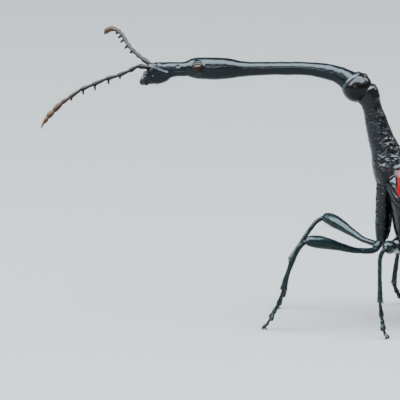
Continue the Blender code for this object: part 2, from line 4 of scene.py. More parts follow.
import bpy
import numpy as np
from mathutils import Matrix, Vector


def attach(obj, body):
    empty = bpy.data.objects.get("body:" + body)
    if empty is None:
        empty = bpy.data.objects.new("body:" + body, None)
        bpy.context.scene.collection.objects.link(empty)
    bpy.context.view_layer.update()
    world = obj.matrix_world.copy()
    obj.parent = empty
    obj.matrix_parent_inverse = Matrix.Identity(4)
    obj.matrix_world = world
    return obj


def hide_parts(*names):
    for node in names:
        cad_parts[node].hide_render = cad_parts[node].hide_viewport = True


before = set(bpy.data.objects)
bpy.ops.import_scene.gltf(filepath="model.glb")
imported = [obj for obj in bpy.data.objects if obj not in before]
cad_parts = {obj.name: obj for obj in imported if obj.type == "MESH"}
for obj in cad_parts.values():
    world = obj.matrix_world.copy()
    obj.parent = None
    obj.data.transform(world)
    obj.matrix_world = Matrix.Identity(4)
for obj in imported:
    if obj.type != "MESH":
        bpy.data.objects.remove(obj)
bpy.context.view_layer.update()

# Shapes are worked out in millimetres in the animal's own measures, with x = 0 above the
# fore legs' hips, and are then moved by MIDDLE_X and brought to metres.
MM = 0.001
MIDDLE_X = 6.41
TURN = 2.0 * math.pi
ACROSS = np.array((0.0, 1.0, 0.0))

# How square a section is, where 2 is an ellipse: from head to fore body, and the hind body
FORE_POWER = 2.15
HIND_POWER = 2.35

# The view: where the camera looks from, and how large a millimetre is in the picture
PHOTO_SIZE = 400.0
PIXELS_PER_MM = 18.0
VIEW_AZIMUTH = math.radians(8.0)
VIEW_ELEVATION = math.radians(10.0)
GROUND_PIXEL = (384.0, 322.0)
VIEW_DISTANCE = 0.60
SENSOR_WIDTH = 36.0


# Curves and surfaces


def circle(count):
    """Evenly spaced angles round a full turn."""
    return TURN * np.arange(count) / count


def steady_slopes(values, places):
    """Slopes at each place that never overshoot: the harmonic mean of the two rises beside it."""
    rises = np.diff(values, axis=0) / np.diff(places)[:, None]
    before, after = rises[:-1], rises[1:]
    same = before * after > 0.0
    safe = np.where(same, before + after, 1.0)
    middle = np.where(same, 2.0 * before * after / safe, 0.0)
    return np.vstack((rises[:1], middle, rises[-1:]))


def smooth_rows(stations, places):
    """Rows on a cubic Hermite curve through the stations, at places from 0 to 1 of its length.

    The first three columns are a point and take the mean slope of their neighbours. The rest
    are sizes and take steady slopes, so that they stay between their stations.
    """
    rows = np.asarray(stations, float)
    steps = np.linalg.norm(np.diff(rows[:, :3], axis=0), axis=1)
    knots = np.concatenate(([0.0], np.cumsum(steps)))
    slopes = np.gradient(rows, knots, axis=0)
    slopes[:, 3:] = steady_slopes(rows[:, 3:], knots)
    wanted = np.asarray(places) * knots[-1]
    low = np.clip(np.searchsorted(knots, wanted, side="right") - 1, 0, len(knots) - 2)
    width = (knots[low + 1] - knots[low])[:, None]
    part = (wanted - knots[low])[:, None] / width
    square, cube = part ** 2, part ** 3
    return ((2 * cube - 3 * square + 1) * rows[low]
            + (cube - 2 * square + part) * width * slopes[low]
            + (3 * square - 2 * cube) * rows[low + 1] + (cube - square) * width * slopes[low + 1])


def unit(vectors):
    """Vectors brought to length 1."""
    length = np.linalg.norm(vectors, axis=-1, keepdims=True)
    return vectors / np.maximum(length, 1e-12)


def square_to(vectors, axis):
    """Unit vectors made square to unit axes."""
    return unit(vectors - axis * np.sum(vectors * axis, axis=-1, keepdims=True))


def signed_power(values, power):
    """A power that keeps the sign."""
    return np.sign(values) * np.abs(values) ** power


def sweep(rows, closing, around, across_hint, power):
    """Rings along rows (x, y, z, half across, half up): each is a superellipse square to the path.

    A ring's point at angle a is centre + across * half_across * cos(a)^(2/power)
    + up * half_up * sin(a)^(2/power), where across is the hint made square to the path. The
    closing is a factor on both sizes.
    """
    path = rows[:, :3]
    tangent = unit(np.gradient(path, axis=0))
    across = square_to(np.broadcast_to(np.asarray(across_hint, float), path.shape), tangent)
    up = np.cross(tangent, across)
    angle, ratio = circle(around), 2.0 / power
    side = (rows[:, 3] * closing)[:, None] * signed_power(np.cos(angle), ratio)
    rise = (rows[:, 4] * closing)[:, None] * signed_power(np.sin(angle), ratio)
    return path[:, None] + side[..., None] * across[:, None] + rise[..., None] * up[:, None]


def grid_normals(grid):
    """Outward normals of a grid whose second direction closes on itself."""
    along = np.gradient(grid, axis=0)
    around = np.roll(grid, -1, axis=1) - np.roll(grid, 1, axis=1)
    normals = unit(np.cross(along, around))
    outward = grid - grid.mean(axis=1, keepdims=True)
    return -normals if np.sum(normals * outward) < 0.0 else normals


def lifted(grid, lift):
    """The grid moved along its outward normals, by a length for each point."""
    return grid + grid_normals(grid) * lift[..., None]


def roughen(grid, depth, size, seed):
    """The same grid with a slow unevenness."""
    return lifted(grid, depth * value_noise(grid, size, seed))


def value_noise(points, size, seed):
    """Smooth noise from -1 to 1: one random number at each corner of cubes of that size,
    blended over each cube with 3f^2 - 2f^3 along each edge."""
    scaled = np.asarray(points) / size
    cell = np.floor(scaled).astype(np.int64)
    part = scaled - cell
    part = part * part * (3.0 - 2.0 * part)
    total = np.zeros(scaled.shape[:-1])
    for corner in np.ndindex(2, 2, 2):
        place = (cell + corner) * (73856093, 19349663, 83492791)
        mixed = place[..., 0] ^ place[..., 1] ^ place[..., 2] ^ (seed * 2654435761)
        mixed = (mixed ^ (mixed >> 13)) * 1274126177 & 0xFFFFFFFF
        mixed = (mixed ^ (mixed >> 16)) & 0xFFFFFF
        weight = np.prod(np.where(corner, part, 1.0 - part), axis=-1)
        total += (mixed / float(0x7FFFFF) - 1.0) * weight
    return total


def bell(distance, width):
    """A smooth hump: exp(-(distance / width)^2)."""
    return np.exp(-(np.asarray(distance) / width) ** 2)


def ramp(value, low, high):
    """0 below low, 1 above high and 3f^2 - 2f^3 between."""
    part = np.clip((np.asarray(value) - low) / (high - low), 0.0, 1.0)
    return part * part * (3.0 - 2.0 * part)


def band(value, low, high, fall_low, fall_high):
    """A ramp up from low to high, times one down from fall_low to fall_high."""
    return ramp(value, low, high) * (1.0 - ramp(value, fall_low, fall_high))


def end_rounding(places, length, start, end):
    """A factor that closes both ends of a limb with quarter ellipses of the given lengths."""
    from_start = np.clip(1.0 - places * length / start, 0.0, 1.0)
    from_end = np.clip(1.0 - (1.0 - places) * length / end, 0.0, 1.0)
    return np.sqrt(1.0 - from_start ** 2) * np.sqrt(1.0 - from_end ** 2)


def limb(stations, count, around, across_hint, start=0.1, end=0.1):
    """A closed round-ended solid along stations (x, y, z, half across, half up).

    The places along it crowd at both ends as (1 - cos) / 2, mixed with an even spacing, so
    that the rounded ends are as fine as the rest.
    """
    even = np.linspace(0.0, 1.0, count)
    places = 0.55 * even + 0.45 * (1.0 - np.cos(math.pi * even)) / 2.0
    rows = smooth_rows(stations, places)
    length = np.sum(np.linalg.norm(np.diff(rows[:, :3], axis=0), axis=1))
    return sweep(rows, end_rounding(places, length, start, end), around, across_hint, 2.0)


def capsule(stations, places, length, start, end, around):
    """A closed sweep in the middle plane along stations (x, z, half width, half height), at
    even places, with slightly squared sections."""
    rows = smooth_rows([(x, 0.0, z, across, up) for x, z, across, up in stations], places)
    return sweep(rows, end_rounding(places, length, start, end), around, ACROSS,
                 FORE_POWER)


def ellipsoid(centre, radii, axes=None, rings=28, around=36):
    """A closed grid on an ellipsoid: centre + radii * (sin b cos a, sin b sin a, cos b)."""
    polar = np.linspace(0.0, math.pi, rings)[:, None]
    angle = circle(around)[None]
    local = np.stack((np.sin(polar) * np.cos(angle), np.sin(polar) * np.sin(angle),
                      np.cos(polar) * np.ones_like(angle)), axis=-1) * np.asarray(radii)
    if axes is not None:
        local = local @ axes
    return local + np.asarray(centre)


def ring_tube(path, radius, around):
    """A closed ring of round section: its path is a loop, so the tube's ends meet."""
    tangent = unit(np.roll(path, -1, axis=0) - np.roll(path, 1, axis=0))
    outward = square_to(unit(path - path.mean(axis=0)), tangent)
    third = np.cross(tangent, outward)
    angle = circle(around)[None, :, None]
    radius = np.broadcast_to(np.asarray(radius, float), (len(path),))[:, None, None]
    return path[:, None] + radius * (np.cos(angle) * outward[:, None]
                                     + np.sin(angle) * third[:, None])


def mesh_from_grids(name, grids, looped):
    """One mesh from closed grids with faces outward.

    Each grid is ended by a pole at the middle of its first and last ring, or meets itself
    there where it is looped.
    """
    points, quads, fans, count = [], [], [], 0
    for grid in grids:
        rows, around = grid.shape[:2]
        own = grid.reshape(-1, 3)
        index = np.arange(rows * around).reshape(rows, around)
        after = np.roll(index, -1, axis=1)
        faces = np.stack((index, after, np.roll(after, -1, axis=0), np.roll(index, -1, axis=0)),
                         axis=-1)
        faces = (faces if looped else faces[:-1]).reshape(-1, 4)
        first = np.full(around, rows * around)
        caps = np.vstack((np.stack((first, after[0], index[0]), axis=-1),
                          np.stack((first + 1, index[-1], after[-1]), axis=-1)))
        corner = own[faces] - own.mean(axis=0)
        volume = np.sum(np.cross(corner[:, 0], corner[:, 1]) * corner[:, 2])
        volume += np.sum(np.cross(corner[:, 0], corner[:, 2]) * corner[:, 3])
        if volume < 0.0:
            faces, caps = faces[:, ::-1], caps[:, ::-1]
        quads.append(faces + count)
        points.append(own)
        if not looped:
            fans.append(caps + count)
            points.append(np.stack((grid[0].mean(axis=0), grid[-1].mean(axis=0))))
        count += len(own) + (0 if looped else 2)
    return build_mesh(name, np.vstack(points), quads, fans)


def build_mesh(name, points, quads, triangles):
    """A smooth-shaded mesh in metres from arrays of points, quads and triangles."""
    quads = np.vstack((np.zeros((0, 4), int), *quads))
    triangles = np.vstack((np.zeros((0, 3), int), *triangles))
    mesh = bpy.data.meshes.new(name)
    mesh.vertices.add(len(points))
    place = (points + (MIDDLE_X, 0.0, 0.0)) * MM
    mesh.vertices.foreach_set("co", place.astype(np.float32).ravel())
    corners = np.concatenate((quads.ravel(), triangles.ravel())).astype(np.int32)
    starts = np.concatenate((np.arange(len(quads)) * 4,
                             len(quads) * 4 + np.arange(len(triangles)) * 3)).astype(np.int32)
    mesh.loops.add(len(corners))
    mesh.loops.foreach_set("vertex_index", corners)
    mesh.polygons.add(len(starts))
    mesh.polygons.foreach_set("loop_start", starts)
    mesh.update(calc_edges=True)
    mesh.validate()
    mesh.shade_smooth()
    return mesh


def piece(name, grids, finish, replaced=(), masks=None, looped=False):
    """A finished piece from grids in the animal's millimetres, with masks for its material."""
    mesh = mesh_from_grids(name, grids, looped)
    for key, values in (masks or {}).items():
        field = mesh.attributes.new(key, "FLOAT", "POINT")
        field.data.foreach_set("value", np.asarray(values, np.float32))
    place_piece(name, mesh, finish, replaced)


def with_poles(values):
    """A grid of numbers as a list for a mesh of one grid, with the poles' own means."""
    return np.concatenate((values.ravel(), (values[0].mean(), values[-1].mean())))


def place_piece(name, mesh, finish, replaced=()):
    """Links a mesh as a piece, with its finish, its body and the nodes that it stands for."""
    item = bpy.data.objects.new(name, mesh)
    bpy.context.scene.collection.objects.link(item)
    mesh.materials.append(MATERIALS[finish])
    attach(item, "root")
    if replaced:
        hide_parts(*replaced)


def mirrored(stations, side):
    """Stations given for the right side, on the right (1) or the left (-1)."""
    rows = np.array(stations, float)
    rows[:, 1] *= side
    return rows


# Finishes


def add_node(tree, kind, inputs=None, **settings):
    """A shader node with its settings, and its inputs each from a value or a socket."""
    node = tree.nodes.new("ShaderNode" + kind)
    for key, value in settings.items():
        setattr(node, key, value)
    for key, value in (inputs or {}).items():
        if isinstance(value, bpy.types.NodeSocket):
            tree.links.new(value, node.inputs[key])
        else:
            node.inputs[key].default_value = value
    return node


def new_group(name, inputs, outputs):
    """A shader node group with inputs given as names and defaults, and named outputs.

    Returned with it are its input and result sockets and one for Object coordinates.
    """
    group = bpy.data.node_groups.new(name, "ShaderNodeTree")
    for label, value in inputs.items():
        socket = group.interface.new_socket(label, in_out="INPUT", socket_type="NodeSocketFloat")
        socket.default_value = value
    for label in outputs:
        group.interface.new_socket(label, in_out="OUTPUT", socket_type="NodeSocketFloat")
    given, result = group.nodes.new("NodeGroupInput"), group.nodes.new("NodeGroupOutput")
    return group, given.outputs, result.inputs, add_node(group, "TexCoord").outputs["Object"]


def pits_group():
    """Round pits: 0 at the middle of each Voronoi cell, rising to 1 at the pit's radius."""
    group, given, result, place = new_group("round_pits", {"Scale": 9000.0, "Radius": 0.3},
                                            ["Height"])
    cells = add_node(group, "TexVoronoi", {"Vector": place, "Scale": given["Scale"]}, feature="F1")
    rise = add_node(group, "MapRange", {"Value": cells.outputs["Distance"],
                                        "From Max": given["Radius"]},
                    interpolation_type="SMOOTHSTEP")
    group.links.new(rise.outputs["Result"], result["Height"])
    return group


def clouds_group():
    """Soft clouds of two sizes: a mask from 0 to 1 for colour, and one for roughness."""
    group, given, result, place = new_group("soft_clouds", {"Scale": 900.0}, ["Broad", "Fine"])
    for label, factor, detail in (("Broad", 1.0, 3.0), ("Fine", 7.0, 4.0)):
        scale = add_node(group, "Math", {0: given["Scale"], 1: factor}, operation="MULTIPLY")
        cloud = add_node(group, "TexNoise", {"Vector": place, "Scale": scale.outputs["Value"],
                                             "Detail": detail})
        spread = add_node(group, "MapRange", {"Value": cloud.outputs["Fac"], "From Min": 0.35,
                                              "From Max": 0.65})
        group.links.new(spread.outputs["Result"], result[label])
    return group


PITS, CLOUDS = pits_group(), clouds_group()


def mix_colours(tree, mask, first, second):
    """A colour between two, by a mask socket."""
    colours = [(*colour, 1.0) if isinstance(colour, tuple) else colour
               for colour in (first, second)]
    mix = add_node(tree, "Mix", {"Factor": mask, 6: colours[0], 7: colours[1]}, data_type="RGBA")
    return mix.outputs[2]


def read_attribute(tree, key):
    """The number that a piece's mesh carries under that name."""
    return add_node(tree, "Attribute", attribute_name=key).outputs["Fac"]


def add_bump(tree, height, depth, **below):
    """A bump of that depth in metres, over another one if given as Normal."""
    node = add_node(tree, "Bump", {"Strength": 1.0, "Distance": depth, "Height": height, **below})
    return node.outputs["Normal"]


def new_material(name):
    """A material with its node tree and its shader's inputs."""
    material = bpy.data.materials.new(name)
    material.use_nodes = True
    tree = material.node_tree
    return material, tree, tree.nodes["Principled BSDF"].inputs


CASE_PIT_COLOUR = (0.07, 0.0015, 0.002)
CASE_EDGE_COLOUR = (0.006, 0.002, 0.003)
SHELL_INDEX = 1.52


def shell_finish(name, dark, light, rough, pits, pit_depth, grain_depth, gloss,
                 cloud_scale=900.0, painted_reflection_tint=(1.0, 1.0, 1.0)):
    """Hard glossy shell: cloudy colour and roughness, round pits and a fine grain.

    Horn turns from dark to light where the piece's tone says so, and the wing cases are
    darker along their edges and in their pits. The highlights may take a tint: a painted
    reflection colour.
    """
    material, tree, shader = new_material(name)
    clouds = add_node(tree, "Group", {"Scale": cloud_scale}, node_tree=CLOUDS)
    holes = add_node(tree, "Group", {"Scale": pits[0], "Radius": pits[1]}, node_tree=PITS)
    mask = read_attribute(tree, "tone") if name == "antenna_horn" else clouds.outputs["Broad"]
    colour = mix_colours(tree, mask, dark, light)
    if name == "wing_case":
        colour = mix_colours(tree, read_attribute(tree, "pit"), colour, CASE_PIT_COLOUR)
        colour = mix_colours(tree, read_attribute(tree, "edge"), colour, CASE_EDGE_COLOUR)
    fine = clouds.outputs["Fine"]
    spread = add_node(tree, "MapRange", {"Value": fine, "To Min": rough[0], "To Max": rough[1]})
    grain = add_bump(tree, fine, grain_depth)
    surface = add_bump(tree, holes.outputs["Height"], pit_depth, Normal=grain)
    tree.links.new(colour, shader["Base Color"])
    tree.links.new(spread.outputs["Result"], shader["Roughness"])
    tree.links.new(surface, shader["Normal"])
    shader["Specular IOR Level"].default_value = gloss
    shader["IOR"].default_value = SHELL_INDEX
    # Painted reflection: the highlights are tinted with the finish's colour of reflected light
    shader["Specular Tint"].default_value = (*painted_reflection_tint, 1.0)
    return material


# Dark and light colour, roughness from and to, pits as scale and radius, depth of pits and
# of grain in metres, gloss, and where they differ from the rest the clouds' scale and a tint
# of the highlights, on the neck and legs a cool one: a painted bluish cast on the reflections
FINISHES = {
    "neck_shell": ((0.0008, 0.001, 0.0013), (0.0015, 0.0026, 0.0034), (0.15, 0.27),
                   (14000.0, 0.3), 3.0e-6, 4.6e-6, 0.22, 700.0, (0.86, 0.97, 1.0)),
    "ball_shell": ((0.001, 0.001, 0.001), (0.002, 0.0015, 0.0015), (0.13, 0.24),
                   (9000.0, 0.35), 4.0e-6, 3.0e-6, 0.17),
    # The lip is a little paler and bluer than the other shells: a faint painted highlight for the
    # bright crescent along it
    "lip_shell": ((0.002, 0.003, 0.004), (0.010, 0.015, 0.018), (0.20, 0.30),
                  (12000.0, 0.3), 2.0e-6, 4.0e-6, 0.38),
    "black_shell": ((0.001, 0.001, 0.0015), (0.002, 0.003, 0.004), (0.14, 0.27),
                    (9000.0, 0.35), 4.0e-6, 3.0e-6, 0.26),
    "leg_shell": ((0.001, 0.002, 0.0022), (0.002, 0.006, 0.0065), (0.17, 0.29),
                  (13000.0, 0.35), 4.0e-6, 3.0e-6, 0.21, 900.0, (0.82, 0.97, 1.0)),
    "antenna_horn": ((0.0022, 0.0017, 0.0013), (0.042, 0.018, 0.007), (0.28, 0.45),
                     (16000.0, 0.3), 4.0e-6, 3.0e-6, 0.16),
    "jaw_horn": ((0.001, 0.001, 0.0015), (0.004, 0.003, 0.003), (0.16, 0.30),
                 (12000.0, 0.3), 3.0e-6, 3.0e-6, 0.3, 2500.0),
    "claw_horn": ((0.0015, 0.001, 0.001), (0.006, 0.004, 0.003), (0.24, 0.36),
                  (12000.0, 0.3), 1.0e-6, 1.0e-6, 0.28, 2500.0),
    "joint_skin": ((0.012, 0.004, 0.003), (0.035, 0.012, 0.009), (0.25, 0.45),
                   (16000.0, 0.35), 4.0e-6, 5.0e-6, 0.4, 3000.0),
    "eye_glaze": ((0.0015, 0.0007, 0.0006), (0.008, 0.0025, 0.0015), (0.04, 0.10),
                  (32000.0, 0.5), 0.8e-6, 0.3e-6, 0.18, 3500.0),
    "pad_felt": ((0.004, 0.003, 0.0025), (0.012, 0.009, 0.006), (0.6, 0.8),
                 (20000.0, 0.4), 6.0e-6, 8.0e-6, 0.3, 4000.0),
    "bristle": ((0.012, 0.010, 0.008), (0.035, 0.026, 0.020), (0.3, 0.5),
                (20000.0, 0.3), 1.0e-6, 1.0e-6, 0.4),
    "wing_case": ((0.10, 0.0015, 0.0015), (0.165, 0.0035, 0.003), (0.16, 0.26),
                  (11000.0, 0.3), 2.0e-6, 2.5e-6, 0.13, 500.0),
}
MATERIALS = {name: shell_finish(name, *values) for name, values in FINISHES.items()}


# Head and neck

# Stations along the head and neck: x, z, half width, half height
HEAD_AND_NECK = (
    (-13.46, 13.60, 0.20, 0.20), (-13.40, 13.57, 0.32, 0.31), (-13.22, 13.56, 0.42, 0.46),
    (-12.88, 13.68, 0.46, 0.63), (-12.45, 13.78, 0.44, 0.58), (-12.05, 13.91, 0.40, 0.46),
    (-11.55, 13.96, 0.36, 0.40), (-11.20, 13.98, 0.38, 0.41), (-10.75, 14.04, 0.48, 0.54),
    (-10.35, 14.05, 0.53, 0.60), (-9.55, 14.045, 0.54, 0.615), (-8.90, 14.07, 0.52, 0.59),
    (-8.45, 14.07, 0.48, 0.53), (-8.05, 14.06, 0.44, 0.455), (-7.30, 14.09, 0.385, 0.39),
    (-6.40, 14.13, 0.37, 0.37), (-5.40, 14.15, 0.37, 0.37), (-4.40, 14.16, 0.37, 0.37),
    (-3.70, 14.10, 0.41, 0.41), (-3.10, 14.00, 0.44, 0.44), (-2.65, 13.88, 0.47, 0.47),
    (-2.30, 13.72, 0.53, 0.52), (-2.02, 13.53, 0.64, 0.60), (-1.93, 13.46, 0.67, 0.63),
)
HEAD_LENGTH = 12.2
# Places on the head's side, as x and z
JAW_HINGE = (-12.92, 13.70)
SNOUT_PIT = (-11.52, 14.20)
ROUGH_SPOT = (-7.75, 14.15)
EYE_CENTRE = np.array((-10.37, 0.50, 14.12))
EYE_RADII = (0.245, 0.19, 0.245)
ORBIT_RADIUS = 0.350
EYE_RING_RADIUS = 0.272
RIM_CENTRE = np.array((-1.86, 0.0, 13.47))
RIM_HALF_WIDTH = 0.635
RIM_HALF_HEIGHT = 0.62
BALL = np.array((-1.54, 0.0, 13.19))
BALL_RADIUS = 0.85


def head_and_neck():
    """The capsule from snout to neck rim, one sweep of near-round sections.

    Normal to its skin it has a ring round each eye with a hollow inside, a groove from each
    feeler to the eye, a furrow between the feelers, a pit on the snout, cross wrinkles and
    a slow unevenness that breaks up the gloss.
    """
    grid = capsule(HEAD_AND_NECK, np.linspace(0.0, 1.0, 620), HEAD_LENGTH, 0.10, 0.03, 96)
    x, y, z = grid[..., 0], grid[..., 1], grid[..., 2]
    outer = ramp(np.abs(y), 0.15, 0.32)
    from_eye = np.hypot(x - EYE_CENTRE[0], z - EYE_CENTRE[2])
    from_hinge = np.hypot(x - JAW_HINGE[0], z - JAW_HINGE[1])
    above_ridge = z - 13.80 + 0.353 * (x + 12.11)
    orbit = 0.050 * bell(from_eye - ORBIT_RADIUS, 0.045) - 0.10 * (1.0 - ramp(from_eye, 0.20, 0.31))
    ridge = 0.050 * bell(above_ridge, 0.060) - 0.065 * bell(above_ridge - 0.145, 0.055)
    ridge = ridge * band(x, -13.0, -12.8, -12.15, -11.95)
    scrobe = -0.035 * bell(z - 13.93, 0.05) * band(x, -12.1, -11.8, -11.1, -10.8)
    pit = -0.07 * bell(np.hypot(x - SNOUT_PIT[0], z - SNOUT_PIT[1]), 0.075)
    hinge = 0.016 * bell(from_hinge - 0.14, 0.06) - 0.07 * bell(from_hinge, 0.065)
    cheek = -0.05 * bell(z - 13.47 + 0.25 * (x + 12.9), 0.045) * (1.0 - ramp(x, -12.75, -12.5))
    furrow = -0.06 * bell(y, 0.06) * ramp(z, 13.9, 14.1) * (1.0 - ramp(x, -12.6, -12.2))
    facets = 0.030 * value_noise(grid, 0.17, 15) * (1.0 - ramp(x, -12.6, -12.1))
    facets += 0.014 * value_noise(grid, 0.09, 25) * (1.0 - ramp(x, -12.95, -12.4))
    waist = -0.020 * bell(x + 11.0, 0.10)
    wrinkle = np.sin(x * 34.0 + 1.5 * value_noise(grid, 0.5, 5))
    wrinkle *= 0.004 * ramp(x, -8.4, -7.8) * (0.35 + 0.65 * bell(x + 5.15, 0.45))
    slow = 0.009 * value_noise(grid, 0.55, 11) + 0.006 * value_noise(grid, 0.22, 12)
    from_spot = np.hypot(x - ROUGH_SPOT[0], z - ROUGH_SPOT[1])
    spot = 0.010 * value_noise(grid, 0.06, 21) * bell(from_spot, 0.24)
    mottle = 0.010 * value_noise(grid, 0.15, 22) * band(x, -4.1, -3.3, -2.3, -2.1)
    sides = (orbit + ridge + scrobe + pit + hinge + cheek) * outer
    return lifted(grid, sides + furrow + facets + waist + wrinkle + slow + spot + mottle)


def neck_rim():
    """The lip round the neck's mouth: a ring of round section, thickest on top, which reaches
    further forward at the sides."""
    axis = unit(BALL - RIM_CENTRE)
    up = np.cross(axis, ACROSS)
    wide, high = np.cos(circle(120))[:, None], np.sin(circle(120))[:, None]
    path = (RIM_CENTRE + RIM_HALF_WIDTH * wide * ACROSS + RIM_HALF_HEIGHT * high * up
            - axis * 0.13 * wide ** 2)
    return ring_tube(path, 0.120 + 0.012 * high[:, 0], 18)


def neck_ball():
    """The ball of the joint, with a slow unevenness, and the small knob on top of it."""
    grid = ellipsoid(BALL, (BALL_RADIUS,) * 3, rings=72, around=96)
    grid = grid + unit(grid - BALL) * (0.012 * value_noise(grid, 0.4, 31))[..., None]
    return [grid, ellipsoid(BALL + (0.38, 0.0, 0.62), (0.22, 0.26, 0.17))]


def eye(side):
    """The bulging facetted eye."""
    centre = EYE_CENTRE * (1.0, side, 1.0) - (0.0, 0.03 * side, 0.0)
    return ellipsoid(centre, EYE_RADII, rings=40, around=48)


def eye_ring(side):
    """The red-brown ring of skin round an eye, a flattened ring tube that leans with the head."""
    wide, high = np.cos(circle(80)), np.sin(circle(80))
    depth = EYE_CENTRE[1] - 0.005 - 0.03 * np.cos(2.0 * circle(80)) - 0.05 * high ** 2
    path = np.stack((EYE_CENTRE[0] + EYE_RING_RADIUS * wide, side * depth,
                     EYE_CENTRE[2] + EYE_RING_RADIUS * high), axis=1)
    return ring_tube(path, 0.042, 14)


def jaw(side):
    """A stout curved mandible, held against the front of the muzzle."""
    rows = [(-13.05, 0.20, 13.56, 0.13, 0.17), (-13.34, 0.25, 13.48, 0.17, 0.20),
            (-13.50, 0.26, 13.32, 0.16, 0.18), (-13.52, 0.19, 13.17, 0.12, 0.14),
            (-13.44, 0.09, 13.08, 0.06, 0.07)]
    return roughen(limb(mirrored(rows, side), 64, 32, ACROSS, 0.05, 0.05), 0.024, 0.13, 16)


def mouth_parts():
    """Upper lip, lower lip, and two short feelers under the mouth."""
    rows = [(-13.18, 0.18, 13.16, 0.065, 0.065), (-13.31, 0.20, 13.10, 0.060, 0.060),
            (-13.41, 0.18, 13.09, 0.040, 0.040)]
    return [roughen(ellipsoid((-13.36, 0.0, 13.66), (0.17, 0.24, 0.15)), 0.016, 0.12, 18),
            roughen(ellipsoid((-13.29, 0.0, 13.22), (0.24, 0.27, 0.15)), 0.016, 0.12, 19),
            *(limb(mirrored(rows, side), 16, 12, ACROSS, 0.04, 0.04) for side in (-1, 1))]


# Feelers

# For each feeler: where its segments meet, which way its teeth point, and the scales of its
# tones and its teeth
ANTENNAE = {
    "left": (((-13.10, -0.40, 14.10), (-13.72, -0.50, 14.18), (-14.20, -0.57, 13.91),
              (-14.82, -0.71, 13.65), (-15.45, -0.87, 13.48), (-16.20, -1.07, 13.16),
              (-16.82, -1.24, 12.91), (-17.44, -1.43, 12.46), (-17.85, -1.55, 12.19),
              (-18.27, -1.70, 11.75), (-18.60, -1.81, 11.42), (-18.93, -1.94, 10.76)),
             (0.10, -0.05, -1.0), 0.75, 1.0),
    "right": (((-13.10, 0.40, 14.10), (-13.67, 0.72, 14.40), (-13.98, 0.97, 14.58),
               (-14.32, 1.26, 14.80), (-14.60, 1.56, 15.06), (-14.86, 1.89, 15.36),
               (-15.02, 2.07, 15.54), (-15.24, 2.29, 15.68), (-15.50, 2.49, 15.75),
               (-15.78, 2.68, 15.73), (-16.00, 2.87, 15.55), (-16.10, 3.00, 15.34)),
              (-0.75, -0.10, -0.65), 1.0, 0.75),
}
SEGMENT_RADII = (0.140, 0.132, 0.124, 0.124, 0.124, 0.124, 0.122, 0.130, 0.162, 0.168, 0.150)
SEGMENT_TONES = (0.0, 0.0, 0.02, 0.05, 0.08, 0.12, 0.18, 0.26, 0.60, 0.80, 1.0, 1.0)
TOOTH_LENGTHS = {2: 0.13, 3: 0.23, 4: 0.27, 5: 0.23, 6: 0.15}
# Each kind of segment, as its place along, its width, and how far it bows inward there
FIRST = ((-0.02, 0.62, 0), (0.10, 0.72, 0), (0.45, 0.95, 0), (0.80, 1.05, 0), (1.02, 0.80, 0))
PLAIN = ((-0.06, 0.60, 0), (0.08, 0.68, 0), (0.40, 0.82, 0), (0.74, 1.00, 0), (0.92, 0.98, 0),
         (1.04, 0.84, 0))
CLUB = ((-0.06, 0.50, 0), (0.10, 0.70, 0), (0.40, 0.98, 0), (0.72, 1.00, 0), (0.92, 0.88, 0),
        (1.04, 0.66, 0))
HOOK = ((-0.06, 0.50, 0.0), (0.10, 0.80, 0.0), (0.26, 0.86, 0.01), (0.42, 0.62, 0.04),
        (0.56, 0.38, 0.06), (0.72, 0.29, 0.06), (0.88, 0.23, 0.03), (1.0, 0.12, 0.0))
SEGMENT_KINDS = (FIRST, *(PLAIN,) * 7, *(CLUB,) * 2, HOOK)


def antenna(path, aim, tone_scale, tooth_scale):
    """Eleven segments, each narrow at its root and wide at its end, with a blunt tooth on
    five of them and a compact club of three, the last one a thin hook.

    Returns the grids and a tone for each vertex.
    """
    path, aim = np.array(path), unit(np.array(aim))
    grids, tones = [], []
    before = np.zeros(3)
    for index, (start, end) in enumerate(zip(path[:-1], path[1:])):
        step, along = end - start, unit(end - start)
        radius = SEGMENT_RADII[index]
        outward = unit(step - before * np.dot(step, before) * 1.6 + before * 1e-6)
        rows = [(*(start + step * part - outward * bow), radius * size, radius * size)
                for part, size, bow in SEGMENT_KINDS[index]]
        before = along
        grid = roughen(limb(rows, 34, 24, np.cross(along, aim), 0.03, 0.05), 0.008, 0.09, 17)
        grids.append(grid)
        tone, ahead = (value * tone_scale for value in SEGMENT_TONES[index:index + 2])
        part = np.linspace(0.0, 1.0, grid.shape[0])[:, None] * np.ones(grid.shape[1])
        tones.append(with_poles(tone + (ahead - tone) * part ** 2))
        if index in TOOTH_LENGTHS:
            size = TOOTH_LENGTHS[index] * tooth_scale
            root = start + step * 0.84
            rows = [(*(root + aim * out - along * back), across, up)
                    for out, back, across, up in (
                        (-0.03, 0.04, 0.100, 0.080), (radius * 0.8, 0.02, 0.088, 0.070),
                        (radius + size * 0.55, 0.0, 0.068, 0.056),
                        (radius + size, 0.035, 0.042, 0.036))]
            tooth = limb(rows, 22, 16, np.cross(along, aim), 0.02, 0.05)
            grids.append(tooth)
            tones.append(np.full(tooth[..., 0].size + 2, tone))
    return grids, np.concatenate(tones)


# Body

# Stations down the fore body: x, z, half width, half depth
PROTHORAX = (
    (-1.24, 13.16, 0.56, 0.66), (-1.02, 12.86, 0.60, 0.70), (-0.84, 12.52, 0.58, 0.62),
    (-0.74, 12.22, 0.54, 0.54), (-0.64, 11.85, 0.55, 0.55), (-0.50, 11.40, 0.60, 0.61),
    (-0.34, 10.80, 0.67, 0.66), (-0.16, 10.25, 0.75, 0.73), (0.06, 9.65, 0.87, 0.82),
    (0.20, 9.10, 1.02, 0.91), (0.31, 8.72, 1.12, 0.98), (0.46, 8.44, 1.16, 1.05),
    (0.60, 8.24, 1.12, 1.02),
)
PROTHORAX_LENGTH = 5.3
RIDGES = 52.0
KEEL_ANGLE = 0.42


